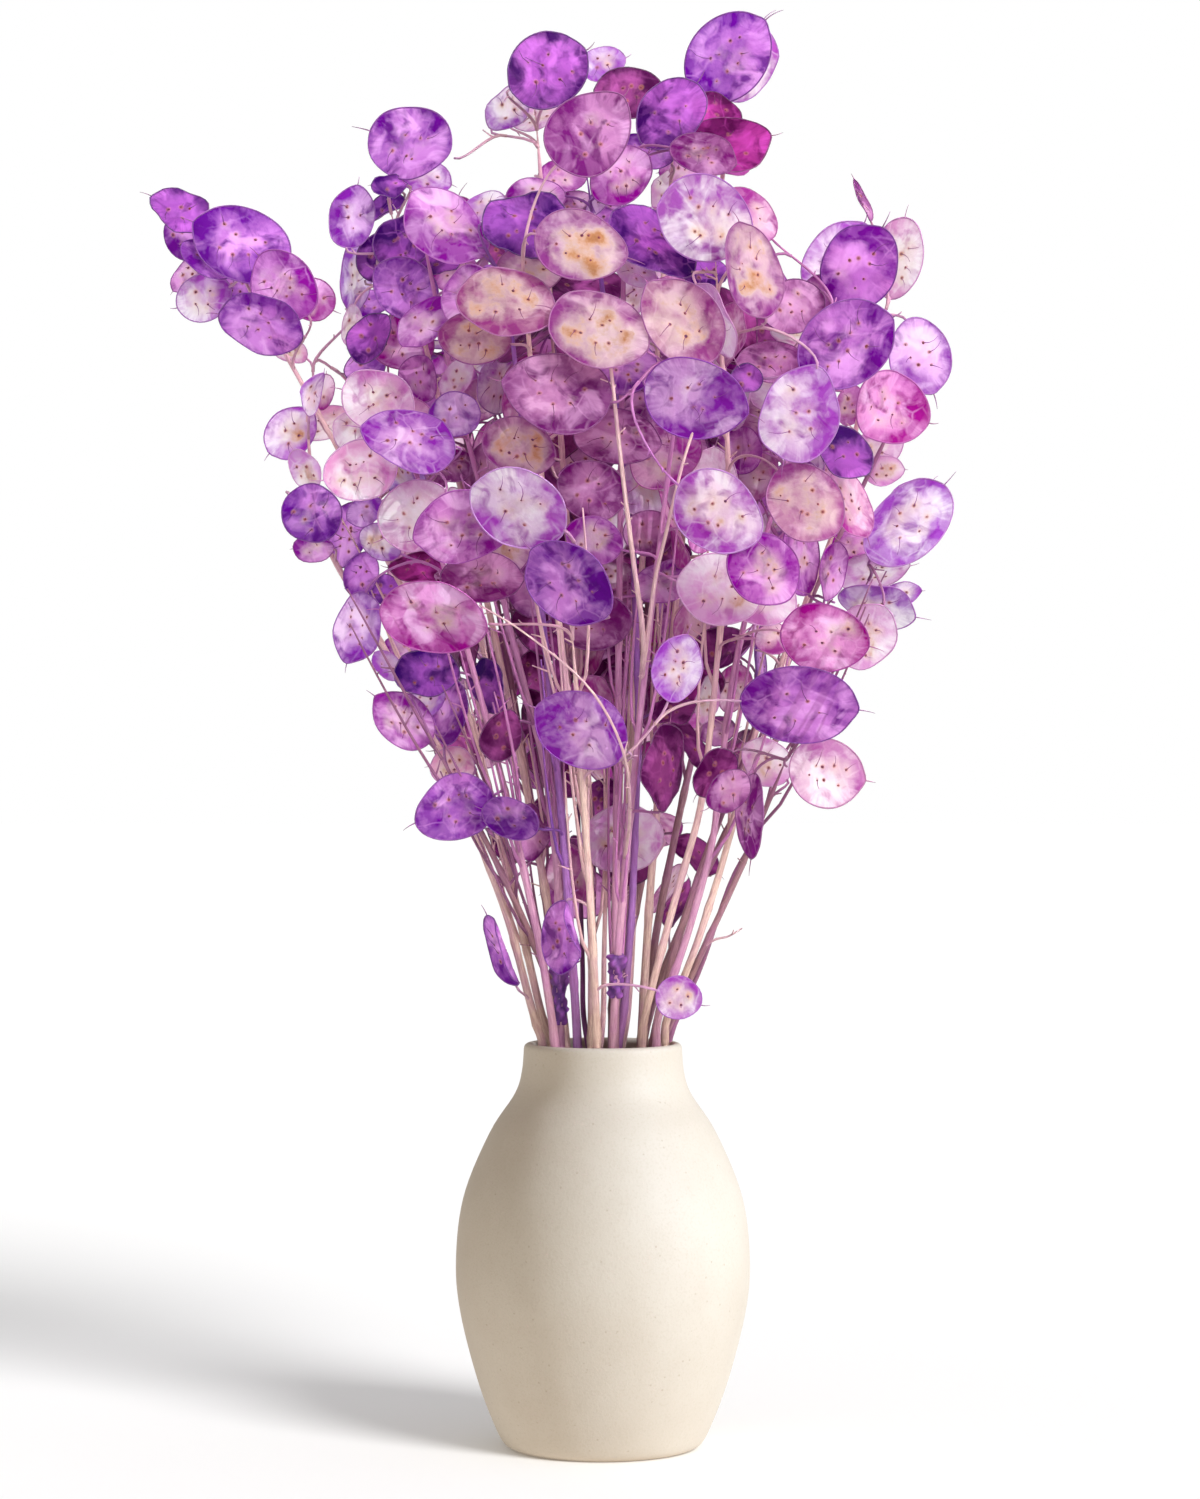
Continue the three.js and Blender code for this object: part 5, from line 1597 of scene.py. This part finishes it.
def vase_profile():
    """Radius and height: up the outside, over the round lip, and down the inside to the floor."""
    side = through_points(VASE_SIDE, VASE_FINE_STEPS)
    outside = side[side[:, 1] > FOOT_TOP]
    half = VASE_WALL / 2
    middle = outside[-1, 0] - half
    turn = np.linspace(0, math.pi, LIP_POINTS)
    lip = np.stack([middle + half * np.cos(turn), VASE_HEIGHT - half + half * np.sin(turn)], -1)
    outside = outside[outside[:, 1] < VASE_HEIGHT - half]
    inside = outside[::-1] - [VASE_WALL, 0]
    inside = inside[inside[:, 1] > VASE_FLOOR + FLOOR_EDGE[1]]
    floor = np.array([[inside[-1, 0] - FLOOR_EDGE[0], VASE_FLOOR], [0, VASE_FLOOR]])
    return np.concatenate([FOOT, outside, lip, inside, floor])


def make_vase():
    profile = vase_profile()
    turn = turns(VASE_TURNS)
    around = (np.cos(turn), np.sin(turn), np.ones(VASE_TURNS))
    points = [np.outer(profile[:, i], way) for i, way in zip((0, 0, 1), around)]
    piece = Piece()
    piece.add(np.stack(points, -1).reshape(-1, 3), joined_rings(len(profile), VASE_TURNS)[:-2])
    piece.build("vase_body", "vase", "stoneware", [stoneware_material()])


# ---- Studio ----
FLOOR_HALF = 12.0
FLOOR_PAINT = (0.95, 0.945, 0.94)
SKY_LIGHT = 0.6
# Each sun: energy, colour, then its softness, turn to the right and height in degrees, and how the names of
# what it lights begin. Only what it lights blocks a sun from below, so the floor doesn't stop its light.
WHITE = (1, 1, 1)
LIGHTS = {
    "key": (2.95, WHITE, 23, 39, 31, ("floor", "stem")),
    "side": (5.2, (0.85, 1, 1.24), 14, 62, 22, ("vase",)),
    "fill": (1.6, WHITE, 70, 10, 35, ("stem",)),
    "back": (1.3, WHITE, 60, 190, 20, ("stem",)),
    "bounce": (1.15, (0.96, 1, 1.08), 60, -40, -78, ("vase",)),
}
CAMERA_AIM = (-1.3, 0, 310.7)
CAMERA_LENS = 99.73


def make_floor():
    mesh = bpy.data.meshes.new("floor")
    corners = [(x * FLOOR_HALF, y * FLOOR_HALF, 0) for x, y in ((-1, -1), (1, -1), (1, 1), (-1, 1))]
    mesh.from_pydata(corners, [], [(0, 1, 2, 3)])
    g = Graph("Floor")
    paint = g.node("BsdfDiffuse", Color=FLOOR_PAINT)
    mesh.materials.append(g.finish(paint.outputs[0]))
    add_object("floor", mesh)


def make_sky():
    """White all round: full white where the camera sees it, and softer as a light."""
    world = bpy.data.worlds.new("Studio")
    bpy.context.scene.world = world
    world.use_nodes = True
    tree = world.node_tree
    tree.nodes.clear()
    seen, lit = (tree.nodes.new("ShaderNodeBackground") for _ in range(2))
    seen.inputs["Strength"].default_value = 1.0
    lit.inputs["Strength"].default_value = SKY_LIGHT
    for background in (seen, lit):
        background.inputs["Color"].default_value = (1, 1, 1, 1)
    mix = tree.nodes.new("ShaderNodeMixShader")
    path = tree.nodes.new("ShaderNodeLightPath")
    tree.links.new(path.outputs["Is Camera Ray"], mix.inputs[0])
    tree.links.new(lit.outputs[0], mix.inputs[1])
    tree.links.new(seen.outputs[0], mix.inputs[2])
    tree.links.new(mix.outputs[0], tree.nodes.new("ShaderNodeOutputWorld").inputs[0])


def make_lights():
    for name, (energy, colour, softness, turn, high, lit) in LIGHTS.items():
        light = bpy.data.lights.new(name, "SUN")
        light.energy = energy
        light.color = colour
        light.angle = math.radians(softness)
        lamp = add_object(name, light)
        turn, high = math.radians(turn), math.radians(high)
        way = Vector((-math.sin(turn) * math.cos(high), math.cos(turn) * math.cos(high), -math.sin(high)))
        lamp.rotation_euler = way.to_track_quat("-Z", "Y").to_euler()
        lamp.location = -way * 2
        pieces = bpy.data.collections.new(name + " lights")
        for piece in bpy.context.scene.objects:
            if piece.name.startswith(lit):
                pieces.objects.link(piece)
        lamp.light_linking.receiver_collection = pieces
        if high < 0:
            lamp.light_linking.blocker_collection = pieces


def make_camera():
    lens = bpy.data.cameras.new("camera")
    lens.sensor_fit = "VERTICAL"
    lens.sensor_height = 36
    lens.lens = CAMERA_LENS
    lens.clip_end = 100
    camera = add_object("camera", lens)
    camera.location = (0, -EYE_DISTANCE * MM, EYE_HEIGHT * MM)
    way = Vector(CAMERA_AIM) * MM - camera.location
    camera.rotation_euler = way.to_track_quat("-Z", "Y").to_euler()
    bpy.context.scene.camera = camera


# ---- The scene ----
LOOKS_SEED = 7


def filled_dye(pod, rng):
    """One of a filled pod's dyes: of the model's own fill, the inner ones are dusky, partly as painted shade.
    """
    out = np.linalg.norm((pod["c"] - FILL_CENTRE) / FILL_REACH)
    dyes = SHADED_INNER_DYES if pod["dye"] is OUTER_DYES and out < INNER_SHARE else pod["dye"]
    return dyes[int(rng.integers(len(dyes)))]


def make_stems():
    dyes = ("violet", "orchid", "lilac", "mauve")
    sheets = {dye: pod_sheet_material("Pod sheet " + dye) for dye in dyes}
    thread, wood = thread_material("Pod thread"), wood_material("Stem")
    for number, stem in enumerate(grow_bunch(), 1):
        rng = np.random.default_rng([LOOKS_SEED, number - 1])
        node = f"stem_{number:02d}"
        slot = "pods_" + stem["dye"]
        pods, woods = Piece(), Piece()
        for pod in stem["pods"]:
            if not isinstance(pod["dye"], str):
                pod["dye"] = filled_dye(pod, rng)
            add_pod(pods, pod, rng)
        # stems at the back get darker shades, partly as painted shade
        shades = BACK_PAINTED_SHADES if stem["line"][1][1] > BACK_FROM else SHADE_ORDER
        path, tint = add_stem(woods, stem, rng, shades[(number - 1) % len(shades)])
        add_stalks(woods, stem, path, rng, tint)
        add_shoots(woods, stem, rng, tint)
        add_low_shoots(woods, number, tint)
        for sheathed, low, high in SHEATHS:
            if sheathed == number:
                add_sheath(woods, path, low, high, rng)
        if number == TWIG_STEM:
            add_twigs(woods, rng)
        if stem["pods"]:
            pods.build(node + "_pods", node, slot, [sheets[stem["dye"]], thread])
        woods.build(node + "_wood", node, slot, [wood])


make_camera()
make_floor()
make_sky()
make_vase()
make_stems()
make_lights()
bpy.context.scene.view_settings.view_transform = "Standard"
